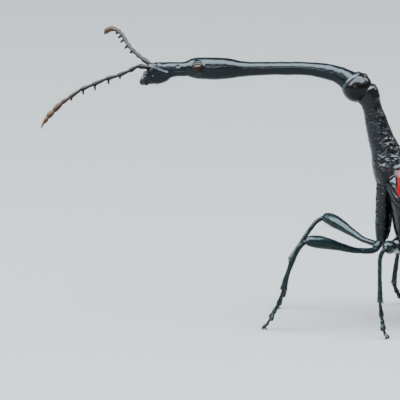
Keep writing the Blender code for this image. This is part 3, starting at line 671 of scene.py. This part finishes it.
def prothorax():
    """The long cone of the fore body, leaning forward.

    Its sections follow a curved centre line. Fine broken cross ridges and a drawn-out grain
    run round it, with two low keels along each side, a rounded collar in front and a raised
    border behind.
    """
    places = np.linspace(0.0, 1.0, 430)
    grid = capsule(PROTHORAX, places, PROTHORAX_LENGTH, 0.30, 0.14, 228)
    level = places[:, None] * np.ones(grid.shape[1])
    warp = 0.12 * value_noise(grid, 0.45, 41) + 0.10 * value_noise(grid, 0.17, 42)
    strength = ramp(value_noise(grid, 0.30, 43), -0.3, 0.8)
    skin = 0.0040 * np.sin(TURN * (level * RIDGES + warp * 6.0)) * strength
    skin += 0.016 * value_noise(grid * (1.0, 1.0, 1.6), 0.26, 44)
    skin += 0.011 * value_noise(grid * (1.0, 1.0, 1.5), 0.125, 45)
    skin += 0.006 * value_noise(grid, 0.062, 48)
    for keel in (-KEEL_ANGLE, KEEL_ANGLE, math.pi - KEEL_ANGLE, math.pi + KEEL_ANGLE):
        away = np.angle(np.exp(1j * (circle(grid.shape[1]) - keel)))
        skin += 0.018 * bell(away, 0.13)
    border = 0.022 * bell(level - 0.978, 0.008) - 0.024 * bell(level - 0.962, 0.006)
    collar = -0.012 * bell(level - 0.178 - 0.016 * value_noise(grid, 0.4, 47), 0.010)
    lobes = 0.020 * value_noise(grid, 0.24, 46) * (1.0 - ramp(level, 0.16, 0.20))
    return lifted(grid, skin * band(level, 0.09, 0.22, 0.955, 0.97) + border + collar + lobes)


# Hind body: its own axes lean down to the rear from the base of the wing cases
BODY_BASE = np.array((1.45, 0.0, 8.95))
BODY_SLOPE = math.radians(33.0)
BACKWARD = np.array((math.cos(BODY_SLOPE), 0.0, -math.sin(BODY_SLOPE)))
DOWNWARD = np.array((-math.sin(BODY_SLOPE), 0.0, -math.cos(BODY_SLOPE)))

# Stations of the hind body: back, half width, top, underside
THORAX = (
    (-0.95, 0.55, 0.60, 1.50), (-0.72, 0.88, 0.40, 1.80), (-0.40, 1.12, 0.34, 2.00),
    (-0.05, 1.38, 0.32, 2.18), (0.30, 1.64, 0.32, 2.50), (0.75, 1.86, 0.32, 2.95),
    (1.25, 1.98, 0.32, 3.50), (1.80, 2.04, 0.32, 3.95), (2.60, 2.06, 0.32, 4.02),
    (3.20, 2.05, 0.32, 3.92), (3.60, 2.00, 0.34, 3.84),
)
ABDOMEN = (
    (3.45, 1.92, 0.50, 3.74), (4.40, 1.86, 0.60, 3.60), (5.00, 1.66, 0.98, 3.40),
    (5.45, 1.36, 1.50, 3.21), (5.85, 1.04, 2.00, 3.02), (6.16, 0.70, 2.26, 2.82),
    (6.32, 0.34, 2.36, 2.66),
)
BELLY_PLATE_ENDS = (3.45, 3.95, 4.45, 4.90, 5.35, 5.85, 6.34)


def in_body(back, across, down):
    """Points of the hind body from its own three measures."""
    back, across, down = (np.asarray(values, float)[..., None] for values in (back, across, down))
    return BODY_BASE + BACKWARD * back + DOWNWARD * down + ACROSS * across


def trunk(stations, count, around):
    """A length of the hind body with slightly squared sections: its points' own measures."""
    rows = [(back, 0.0, (top + under) / 2, across, (under - top) / 2)
            for back, across, top, under in stations]
    rows = smooth_rows(rows, np.linspace(0.0, 1.0, count))
    angle, ratio = circle(around), 2.0 / HIND_POWER
    across = rows[:, 3:4] * signed_power(np.cos(angle), ratio)
    down = rows[:, 2:3] + rows[:, 4:5] * signed_power(np.sin(angle), ratio)
    return rows[:, 0:1] * np.ones_like(across), across, down


def thorax():
    """Middle and hind chest: plates parted by grooves, with a slow unevenness."""
    back, across, down = trunk(THORAX, 260, 160)
    grid = in_body(back, across, down)
    side = ramp(np.abs(across), 0.5, 1.2)
    plate = -0.05 * bell(back - (1.55 + 0.25 * (down - 3.0)), 0.035) * ramp(down, 1.2, 1.6)
    pleura = -0.045 * bell(down - (1.95 + 0.10 * back), 0.035) * side
    upper = -0.03 * bell(down - (1.55 + 0.08 * back), 0.03) * side
    middle = -0.04 * bell(across, 0.035) * ramp(down, 2.5, 3.0) * ramp(back, 1.7, 2.0)
    slow = 0.014 * value_noise(grid, 0.5, 51) + 0.008 * value_noise(grid, 0.14, 52)
    return lifted(grid, plate + pleura + upper + middle + slow)


def abdomen():
    """Five belly plates, each lapping a little over the next, and the tail shield."""
    back, across, down = trunk(ABDOMEN, 260, 140)
    grid = in_body(back, across, down)
    ends = np.array(BELLY_PLATE_ENDS)
    plate = np.clip(np.searchsorted(ends, back, side="right") - 1, 0, len(ends) - 2)
    step = (back - ends[plate]) / (ends[plate + 1] - ends[plate])
    plates = (0.05 * step ** 2 - 0.03) * ramp(down, 1.6, 2.2)
    slow = 0.012 * value_noise(grid, 0.4, 61) + 0.006 * value_noise(grid, 0.12, 62)
    return lifted(grid, plates + slow)


# Wing cases

CASE_LENGTH = 6.2
CASE_HALF_WIDTH = 2.28
CASE_WALL = 0.16
CASE_POWER = 2.7
SEAM_GAP = 0.012
STRIAE = 10
ROW_SPACING = 0.26
PIT_SPACING = 0.150
PIT_RADIUS = 0.034
PIT_DEPTH = 0.014


def wing_case(side):
    """A curved wing case: outer skin, rolled edge and inner skin as one closed grid.

    Across, from seam to margin, the outer line is a quarter of a superellipse. Along, the
    crest falls and the width narrows to the rear, and the shoulder swells. Ten rows of round
    pits run along it. Returns the grid with the pit and edge masks.
    """
    along = np.linspace(0.0, 1.0, 380)[:, None]
    turn = np.linspace(0.0, 1.0, 190)[None]
    rear = np.clip((along - 0.62) / 0.38, 0.0, None)
    shoulder = 1.0 - 0.10 * (1.0 - np.minimum(along / 0.18, 1.0)) ** 2
    crest = 1.75 * rear ** 2.1 - 0.10 * np.sin(math.pi * np.minimum(along / 0.7, 1.0))
    margin = (1.40 + 0.50 * np.minimum(along / 0.35, 1.0) + 0.35 * rear ** 2
              - 0.42 * (1.0 - np.minimum(along / 0.11, 1.0)) ** 2)
    angle = turn * math.pi / 2
    reach = CASE_HALF_WIDTH * (1.0 - 0.60 * rear ** 2.3) * shoulder
    across = SEAM_GAP + (reach - SEAM_GAP) * np.sin(angle) ** (2 / CASE_POWER)
    down = crest + (margin - crest) * (1.0 - np.cos(angle) ** (2 / CASE_POWER))
    roll = (1.0 - np.minimum(along / 0.055, 1.0)) ** 2
    down = down + 0.26 * roll * (1.0 - 0.85 * turn)
    front = -0.54 * np.sin(math.pi * turn)
    back = front + (CASE_LENGTH - 0.25 * turn ** 2 - front) * along
    outer = in_body(back, across, down)
    normal = unit(np.cross(np.gradient(outer, axis=0), np.gradient(outer, axis=1)))
    if np.sum(normal * DOWNWARD) > 0.0:
        normal = -normal
    stripes = turn * (STRIAE + 0.6)
    row = np.round(stripes - 0.3) + 0.3
    offset = (stripes - row) * ROW_SPACING
    jitter = value_noise(np.stack(np.broadcast_arrays(row * 3.7, along * 41.0, 0.0), axis=-1),
                         1.0, 72)
    run = along * CASE_LENGTH / PIT_SPACING + 0.37 * row + 0.25 * jitter
    near = (run - np.round(run)) * PIT_SPACING
    fade = band(along, 0.05, 0.09, 0.90, 0.97) * band(turn, 0.03, 0.05, 0.93, 0.95)
    pit = bell(np.hypot(offset, near), PIT_RADIUS) * fade
    humerus = 0.08 * bell(np.hypot((back - 0.20) / 0.5, (across - 1.72) / 0.32), 1.0)
    seam = 0.010 * bell(turn, 0.015) + 0.030 * bell(turn - 0.985, 0.012)
    slow = 0.014 * value_noise(outer, 0.7, 71) + 0.006 * value_noise(outer, 0.28, 73)
    lift = humerus + seam + slow - PIT_DEPTH * pit - 0.004 * bell(offset, 0.045) * fade
    outer = outer + normal * lift[..., None]
    edge = np.maximum(np.maximum(bell(turn, 0.005), bell(turn - 1.0, 0.018)),
                      1.0 - ramp(along, 0.030, 0.042))
    wall = np.maximum(CASE_WALL * np.sqrt(1.0 - (2.0 * turn - 1.0) ** 8), 0.02)
    inner = (outer - normal * wall[..., None])[:, ::-4]
    grid = np.concatenate((outer, inner), axis=1) * (1.0, side, 1.0)
    masks = {key: with_poles(np.concatenate((mask, np.zeros(inner.shape[:2])), axis=1))
             for key, mask in (("pit", pit), ("edge", edge))}
    return grid, masks


def scutellum():
    """The small shield between the wing cases."""
    axes = np.stack((BACKWARD, ACROSS, -DOWNWARD))
    shield = ellipsoid(in_body(0.02, 0.0, 0.17), (0.36, 0.25, 0.20), axes, 40, 48)
    return roughen(shield, 0.012, 0.16, 74)


# Legs

# Stations of the long fore hip: x, y, z, half across, half up
FORE_HIP = ((0.12, 0.44, 8.50, 0.44, 0.44), (0.07, 0.46, 8.00, 0.46, 0.46),
            (0.03, 0.47, 7.40, 0.46, 0.45), (-0.01, 0.48, 6.50, 0.45, 0.43),
            (-0.05, 0.52, 5.50, 0.41, 0.40), (-0.08, 0.57, 4.95, 0.34, 0.33),
            (-0.10, 0.61, 4.66, 0.25, 0.25), (-0.11, 0.63, 4.52, 0.16, 0.16))
MID_HIP = np.array((0.92, 0.98, 4.52))
HIND_HIP = np.array((2.26, 1.02, 4.06))
HIP_RADII = (0.46, 0.506, 0.46)

FORE_THIGH = ((-0.12, 0.66, 4.60), (-0.34, 0.90, 4.30), (-1.19, 1.56, 4.28),
              (-2.19, 2.41, 4.63), (-2.75, 2.89, 4.86), (-3.25, 3.32, 5.03),
              (-3.62, 3.64, 5.12), (-3.90, 3.86, 5.15))
FORE_THIGH_RADII = (0.19, 0.18, 0.165, 0.24, 0.32, 0.365, 0.32, 0.20)
HIND_THIGH = ((2.30, 1.05, 3.78), (2.48, 1.35, 3.90), (2.95, 2.20, 4.30),
              (3.36, 3.00, 4.68), (3.62, 3.55, 4.90), (3.82, 4.02, 5.02),
              (3.95, 4.30, 5.01))
REAR_THIGH_RADII = (0.20, 0.16, 0.19, 0.31, 0.38, 0.33, 0.20)
HIND_SHIN = ((3.96, 4.32, 4.98), (4.14, 4.50, 4.62), (4.42, 4.74, 3.80),
             (4.68, 4.94, 2.90), (4.86, 5.08, 2.05))

# The shins' half width at their ends, the turn of a fore foot, and the bristles' first seed
FORE_SHIN_END = 0.205
REAR_SHIN_END = 0.165
FORE_FOOT_TURN = 0.7
FIRST_SEED = 100

# For each leg: its side, its round hip's middle, and the paths of its thigh, shin and foot,
# as for the right side
LEGS = {
    "leg_fore_left": (
        -1, None, FORE_THIGH,
        ((-3.88, 3.85, 5.15), (-4.20, 3.81, 4.83), (-4.44, 3.76, 4.42), (-4.67, 3.69, 3.90),
         (-4.90, 3.62, 3.33), (-5.08, 3.55, 2.75), (-5.17, 3.50, 2.29)),
        ((-5.16, 3.50, 2.30), (-5.50, 3.38, 1.42), (-5.74, 3.30, 1.00), (-5.94, 3.25, 0.62),
         (-6.17, 3.17, 0.22))),
    "leg_fore_right": (
        1, None, FORE_THIGH,
        ((-3.88, 3.85, 5.14), (-4.25, 3.81, 4.92), (-4.60, 3.76, 4.50), (-5.00, 3.68, 3.90),
         (-5.38, 3.59, 3.25), (-5.71, 3.50, 2.66)),
        ((-5.71, 3.50, 2.67), (-5.93, 3.43, 1.62), (-6.04, 3.39, 1.13), (-6.14, 3.35, 0.66),
         (-6.25, 3.31, 0.22))),
    "leg_mid_left": (
        -1, MID_HIP,
        ((0.92, 0.98, 4.25), (0.92, 1.40, 4.30), (0.90, 2.40, 4.55), (0.85, 3.30, 4.80),
         (0.80, 3.95, 4.95), (0.74, 4.45, 5.03), (0.66, 4.72, 5.03)),
        ((0.58, 4.74, 4.98), (0.40, 4.80, 4.60), (0.35, 4.83, 3.80), (0.36, 4.86, 2.90),
         (0.38, 4.88, 2.00)),
        ((0.38, 4.88, 1.98), (0.47, 4.92, 1.22), (0.53, 4.94, 0.84), (0.59, 4.96, 0.50),
         (0.67, 4.98, 0.20))),
    "leg_mid_right": (
        1, MID_HIP,
        ((0.92, 0.98, 4.25), (0.90, 1.40, 4.22), (0.84, 2.40, 4.25), (0.74, 3.30, 4.32),
         (0.66, 3.95, 4.36), (0.58, 4.45, 4.36), (0.50, 4.72, 4.31)),
        ((0.50, 4.74, 4.28), (0.36, 4.84, 3.80), (0.16, 4.90, 2.90), (0.02, 4.93, 2.00),
         (-0.06, 4.95, 1.25)),
        ((-0.06, 4.95, 1.22), (0.10, 5.20, 0.72), (0.22, 5.42, 0.50), (0.36, 5.64, 0.33),
         (0.52, 5.86, 0.19))),
    "leg_hind_left": (
        -1, HIND_HIP, HIND_THIGH, HIND_SHIN,
        ((4.87, 5.09, 2.02), (5.16, 5.30, 1.24), (5.34, 5.42, 0.86), (5.50, 5.53, 0.52),
         (5.67, 5.64, 0.20))),
    "leg_hind_right": (
        1, HIND_HIP, HIND_THIGH, HIND_SHIN,
        ((4.87, 5.09, 2.02), (5.14, 5.34, 1.24), (5.30, 5.48, 0.86), (5.45, 5.60, 0.52),
         (5.61, 5.72, 0.20))),
}


def hip(side, centre):
    """The hip: a long wrinkled cone on a fore leg, and a rounded boss on the others."""
    if centre is not None:
        boss = ellipsoid(centre * (1, side, 1), HIP_RADII, rings=48, around=64)
        return roughen(roughen(boss, 0.016, 0.30, 84), 0.008, 0.11, 88)
    grid = limb(mirrored(FORE_HIP, side), 220, 72, ACROSS, 0.25, 0.14)
    slant = grid[..., 2] * 5.2 + 0.9 * np.sin(circle(72)) + 0.8 * value_noise(grid, 0.30, 89)
    folds = 0.012 * np.sin(slant * 4.6) * ramp(value_noise(grid, 0.35, 90), -0.5, 0.6)
    return lifted(grid, folds + 0.022 * value_noise(grid * (1.0, 1.0, 1.7), 0.26, 83))


def trochanter(points):
    """The small wedge between hip and thigh."""
    start, end = points[0], points[1] + (points[2] - points[1]) * 0.12
    rows = [(*(start + (0.0, 0.0, 0.10)), 0.15, 0.15), (*(start * 0.6 + end * 0.4), 0.235, 0.225),
            (*(start * 0.25 + end * 0.75), 0.235, 0.22), (*end, 0.15, 0.14)]
    return roughen(limb(rows, 40, 32, ACROSS, 0.10, 0.10), 0.010, 0.20, 85)


def thigh(points, radii):
    """The club-shaped thigh."""
    rows = np.column_stack((points, radii, radii))
    return roughen(limb(rows, 120, 40, (0, 0, 1), 0.10, 0.16), 0.010, 0.30, 81)


def shin(points, widest):
    """The slim shin, with a knob at the knee, widest at its slanting end."""
    places = np.linspace(0.0, 1.0, len(points))
    radii = 0.118 + 0.010 * places + (widest - 0.128) * ramp(places, 0.62, 1.0)
    radii[0] = 0.140
    grid = limb(np.column_stack((points, radii, radii * 0.92)), 150, 32, (0, 0, 1), 0.08, 0.09)
    level = np.linspace(0.0, 1.0, len(grid))[:, None]
    keel = 0.010 * bell(np.sin(circle(grid.shape[1]) - 0.8), 0.25) * ramp(level, 0.10, 0.20)
    return roughen(lifted(grid, keel), 0.010, 0.14, 82)


def spurs(points, side):
    """Two short thorns at the shin's end, on its inner side."""
    end, along = points[-1], unit(points[-1] - points[-2])
    inward = square_to(unit(np.array((0.35, -side, -0.1))), along)
    third = np.cross(along, inward)
    grids = []
    for turn in (-1.0, 1.0):
        aim = unit(along + inward * 0.55 + third * 0.45 * turn)
        root = end - along * 0.06 + inward * 0.10 + third * 0.07 * turn
        rows = [(*root, 0.045, 0.040), (*(root + aim * 0.10), 0.034, 0.030),
                (*(root + aim * 0.20), 0.012, 0.010)]
        grids.append(limb(rows, 18, 12, third, 0.02, 0.02))
    return grids


# A foot's segments as half width and half thickness at the root and at the end
FOOT_SEGMENTS = ((0.085, 0.080, 0.175, 0.120), (0.105, 0.085, 0.200, 0.115))
LOBE_SIZE = (0.125, 0.080)
LOBE_SPREAD = 0.135
BRISTLE_RADIUS = 0.007


def foot_axes(start, end, turn):
    """A foot segment's step, its unit direction, and its sideways axis turned by an angle."""
    along = unit(end - start)
    level = unit(np.cross(along, (0.0, 0.0, -1.0)))
    return end - start, along, level * math.cos(turn) + np.cross(along, level) * math.sin(turn)


def foot(points, turn):
    """Three foot segments and the slim claw segment, each narrow at its root.

    The third is split into two broad lobes. The foot may be turned round its own length.
    Returns shell grids and pad grids.
    """
    shell, pads = [], []
    for start, end, (narrow, low, wide, high) in zip(points, points[1:], FOOT_SEGMENTS):
        step, along, across = foot_axes(start, end, turn)
        rows = [(*(start - along * 0.05), narrow * 0.8, low * 0.8),
                (*(start + step * 0.15), narrow, low),
                (*(start + step * 0.55), (narrow + wide) * 0.50, (low + high) * 0.50),
                (*(start + step * 0.88), wide, high),
                (*(end + along * 0.05), wide * 0.88, high * 0.80)]
        shell.append(roughen(limb(rows, 48, 30, across, 0.04, 0.09), 0.010, 0.10, 86))
    start, end = points[2], points[3]
    step, along, across = foot_axes(start, end, turn)
    below = np.cross(along, across)
    below = below if below[2] < 0.0 else -below
    wide, high = LOBE_SIZE
    for lobe in (-1.0, 1.0):
        tip = end + across * lobe * (LOBE_SPREAD + 0.02) + along * 0.04
        rows = np.array([(*(start - along * 0.04), 0.075, 0.070),
                         (*(start + step * 0.35 + across * lobe * LOBE_SPREAD * 0.6), 0.105, 0.085),
                         (*(tip - along * 0.16), wide, high), (*tip, wide * 0.80, high * 0.75)])
        shell.append(roughen(limb(rows, 36, 26, across, 0.04, 0.09), 0.008, 0.10, 87))
        sole = np.column_stack((rows[1:, :3] + below * 0.045, rows[1:, 3:] * (0.92, 0.7)))
        pads.append(limb(sole, 24, 20, across, 0.04, 0.08))
    start, end = points[3] - along * 0.24, points[4]
    rows = [(*start, 0.050, 0.050), (*(start + (end - start) * 0.35), 0.060, 0.058),
            (*(start + (end - start) * 0.80), 0.085, 0.080), (*end, 0.088, 0.085)]
    shell.append(limb(rows, 36, 22, across, 0.03, 0.07))
    return shell, pads


def claws(points):
    """Two hooked claws that part at the end of the claw segment, arch forward and down, and
    point back under it at the floor."""
    base = points[4]
    aim = unit((base - points[3]) * (1.0, 1.0, 0.0))
    sideways = np.array((-aim[1], aim[0], 0.0))
    floor = -base[2]
    # Ahead of the segment's end, apart from its middle, above it, and the claw's radius
    shape = ((-0.06, 0.02, 0.02, 0.075), (0.05, 0.06, 0.03, 0.082),
             (0.135, 0.11, floor * 0.30, 0.078), (0.155, 0.15, floor * 0.66, 0.062),
             (0.105, 0.17, floor + 0.040, 0.036), (0.010, 0.17, floor + 0.012, 0.010))
    grids = []
    for turn in (-1.0, 1.0):
        rows = [(*(base + aim * ahead + sideways * turn * apart + (0.0, 0.0, rise)),
                 radius * 0.85, radius) for ahead, apart, rise, radius in shape]
        grids.append(limb(rows, 44, 16, sideways, 0.03, 0.01))
    return grids


def bristle_mesh(name, roots, aims, lengths, places):
    """Many short bristles as one mesh: each is a three-sided spike from its root to its tip.

    The bake map holds a small patch for each spike at its root's place along and round the
    limb.
    """
    side = unit(np.cross(aims, np.array((0.31, 0.52, 0.79))))
    third = np.cross(aims, side)
    corners = [roots + (side * math.cos(angle) + third * math.sin(angle)) * BRISTLE_RADIUS
               for angle in circle(3)]
    points = np.stack((*corners, roots + aims * lengths[:, None]), axis=1).reshape(-1, 3)
    base = np.arange(len(roots))[:, None] * 4
    faces = [base + np.array(face) for face in ((0, 1, 3), (1, 2, 3), (2, 0, 3), (2, 1, 0))]
    mesh = build_mesh(name, points, [], faces)
    layer = mesh.uv_layers.new(name="OFBake")
    vertex = np.empty(len(mesh.loops), np.int32)
    mesh.loops.foreach_get("vertex_index", vertex)
    patch = np.array(((0.0, 0.0), (0.003, 0.0), (0.0015, 0.003), (0.0015, 0.0015)))
    spots = places[vertex // 4] * 0.99 + patch[vertex % 4]
    layer.data.foreach_set("uv", spots.astype(np.float32).ravel())
    return mesh


def limb_bristles(generator, grid, count, lean, length, low=0.05, high=0.95):
    """Roots, aims, lengths and map places of bristles drawn at random over a limb's grid."""
    rows, around = grid.shape[:2]
    row = generator.integers(int(rows * low), int(rows * high), count)
    column = generator.integers(0, around, count)
    lying = lean * unit(np.gradient(grid, axis=0))[row, column]
    aims = unit(grid_normals(grid)[row, column] + lying
                + 0.15 * generator.standard_normal((count, 3)))
    sizes = length * generator.uniform(0.6, 1.2, count)
    places = np.stack((row / rows, column / around), axis=1)
    return grid[row, column] - aims * 0.01, aims, sizes, places


def make_leg(name, seed):
    """All pieces of one leg."""
    side, centre, *paths = LEGS[name]
    thigh_path, shin_path, foot_path = (mirrored(path, side) for path in paths)
    fore = centre is None
    upper = thigh(thigh_path, FORE_THIGH_RADII if fore else REAR_THIGH_RADII)
    lower = shin(shin_path, FORE_SHIN_END if fore else REAR_SHIN_END)
    segments, pads = foot(foot_path, FORE_FOOT_TURN * side if fore else 0.0)
    shell = [trochanter(thigh_path), upper, lower, *spurs(shin_path, side), *segments]
    piece(name + "_hip", [hip(side, centre)], "black_shell")
    piece(name + "_shell", shell, "leg_shell", [name])
    piece(name + "_pads", pads, "pad_felt")
    piece(name + "_claws", claws(foot_path), "claw_horn")
    generator = np.random.default_rng(seed)
    draws = [limb_bristles(generator, lower, 260, 1.6, 0.085, 0.10, 0.99),
             limb_bristles(generator, lower, 90, 2.0, 0.110, 0.90, 0.99),
             limb_bristles(generator, upper, 110, 2.4, 0.055, 0.15, 0.97)]
    draws += [limb_bristles(generator, grid, 60, 1.3, 0.08) for grid in segments[:4]]
    mesh = bristle_mesh(name + "_bristles", *(np.concatenate(values) for values in zip(*draws)))
    place_piece(name + "_bristles", mesh, "bristle")


# Making


def make_animal():
    """Every visible piece, each riding on the one still body."""
    piece("head_and_neck_capsule", [head_and_neck()], "neck_shell", ["head", "neck"])
    piece("neck_rim", [neck_rim()], "lip_shell", looped=True)
    piece("neck_ball", neck_ball(), "ball_shell")
    piece("mouth_parts", mouth_parts(), "jaw_horn")
    for side, word in ((-1, "left"), (1, "right")):
        piece("eyeball_" + word, [eye(side)], "eye_glaze", ["eye_" + word])
        piece("eye_ring_" + word, [eye_ring(side)], "joint_skin", looped=True)
        piece("jaw_" + word, [jaw(side)], "jaw_horn", ["mandible_" + word])
    for word, plan in ANTENNAE.items():
        grids, tones = antenna(*plan)
        piece("feeler_" + word, grids, "antenna_horn", ["antenna_" + word],
              {"tone": tones})
    for name, shape, node in (("prothorax_shell", prothorax(), "prothorax"),
                              ("chest_shell", thorax(), "thorax"),
                              ("belly_shell", abdomen(), "abdomen"),
                              ("back_shield", scutellum(), "scutellum")):
        piece(name, [shape], "black_shell", [node])
    for side, word in ((-1, "left"), (1, "right")):
        grid, masks = wing_case(side)
        piece("wing_case_" + word, [grid], "wing_case", ["elytron_" + word], masks)
    for order, name in enumerate(LEGS):
        make_leg(name, FIRST_SEED + order)


def make_floor():
    """A wide plain matt floor with painted light: dark near the animal, under the bright lamps, and
    paler away from it, to make up for the lights reaching it less there.
    """
    material, tree, shader = new_material("pale_floor")
    place = add_node(tree, "TexCoord").outputs["Object"]
    distance = add_node(tree, "VectorMath", {0: place}, operation="LENGTH")
    far = add_node(tree, "MapRange", {"Value": distance.outputs["Value"], "From Min": 0.25,
                                      "From Max": 1.1})
    # Painted light: the floor's colour rises with distance to even out the lamps' falloff
    colour = mix_colours(tree, far.outputs["Result"], (0.135, 0.131, 0.125), (0.78, 0.77, 0.75))
    tree.links.new(colour, shader["Base Color"])
    shader["Roughness"].default_value = 0.8
    size = 6.0
    mesh = bpy.data.meshes.new("floor")
    mesh.from_pydata([(-size, -size, 0), (size, -size, 0), (size, size, 0), (-size, size, 0)],
                     [], [(0, 1, 2, 3)])
    mesh.materials.append(material)
    floor = bpy.data.objects.new("floor", mesh)
    bpy.context.scene.collection.objects.link(floor)


def aim_at(item, target):
    """Turns a light or camera to look at a point."""
    item.rotation_euler = (Vector(target) - item.location).to_track_quat("-Z", "Y").to_euler()


# Each light: place, aim, width and height in metres, power and colour
LIGHTS = {
    "overhead": ((-0.035, -0.095, 0.27), (0.0, -0.095, 0.008), 0.29, 0.90, 22.0,
                 (0.78, 0.90, 1.0)),
    "camera_strip": ((-0.070, -0.47, 0.17), (0, 0, 0.012), 0.16, 0.014, 0.55, (1.0, 0.90, 0.86)),
    "front_left": ((-0.26, -0.26, 0.24), (0, 0, 0.008), 0.08, 0.12, 0.90, (1.0, 0.95, 0.90)),
    "rear_right": ((0.28, 0.16, 0.24), (0, 0, 0.008), 0.10, 0.12, 1.0, (1.0, 0.96, 0.92)),
}


def make_lights():
    """A wide cool soft box above the camera's side of the animal, long from head to tail, a
    thin warm strip above the camera, two soft boxes at the sides, and a dim cool surround."""
    for name, (place, target, width, height, power, colour) in LIGHTS.items():
        data = bpy.data.lights.new(name, "AREA")
        data.shape = "RECTANGLE"
        data.size, data.size_y = width, height
        data.energy = power
        data.color = colour
        lamp = bpy.data.objects.new(name, data)
        lamp.location = place
        aim_at(lamp, target)
        bpy.context.scene.collection.objects.link(lamp)
    world = bpy.data.worlds.new("pale_room")
    world.use_nodes = True
    surround = world.node_tree.nodes["Background"].inputs
    surround["Color"].default_value = (0.84, 0.90, 0.98, 1.0)
    surround["Strength"].default_value = 0.30
    bpy.context.scene.world = world


def make_camera():
    """A long lens at the photograph's angle: the frame's middle is found from the pixel of
    the ground point under x = 0 and the picture's scale."""
    right = Vector((math.cos(VIEW_AZIMUTH), math.sin(VIEW_AZIMUTH), 0.0))
    away = Vector((-math.sin(VIEW_AZIMUTH) * math.cos(VIEW_ELEVATION),
                   math.cos(VIEW_AZIMUTH) * math.cos(VIEW_ELEVATION), -math.sin(VIEW_ELEVATION)))
    up = right.cross(away)
    middle = PHOTO_SIZE / 2
    ground = Vector((MIDDLE_X, 0.0, 0.0)) * MM
    step = MM / PIXELS_PER_MM
    target = ground + right * ((middle - GROUND_PIXEL[0]) * step) \
        + up * ((GROUND_PIXEL[1] - middle) * step)
    data = bpy.data.cameras.new("camera")
    data.sensor_width = SENSOR_WIDTH
    data.lens = SENSOR_WIDTH * VIEW_DISTANCE / (PHOTO_SIZE * step)
    data.clip_start = 0.01
    data.clip_end = 20.0
    camera = bpy.data.objects.new("camera", data)
    camera.location = target - away * VIEW_DISTANCE
    aim_at(camera, target)
    bpy.context.scene.collection.objects.link(camera)
    bpy.context.scene.camera = camera


make_camera()
make_floor()
make_lights()
make_animal()
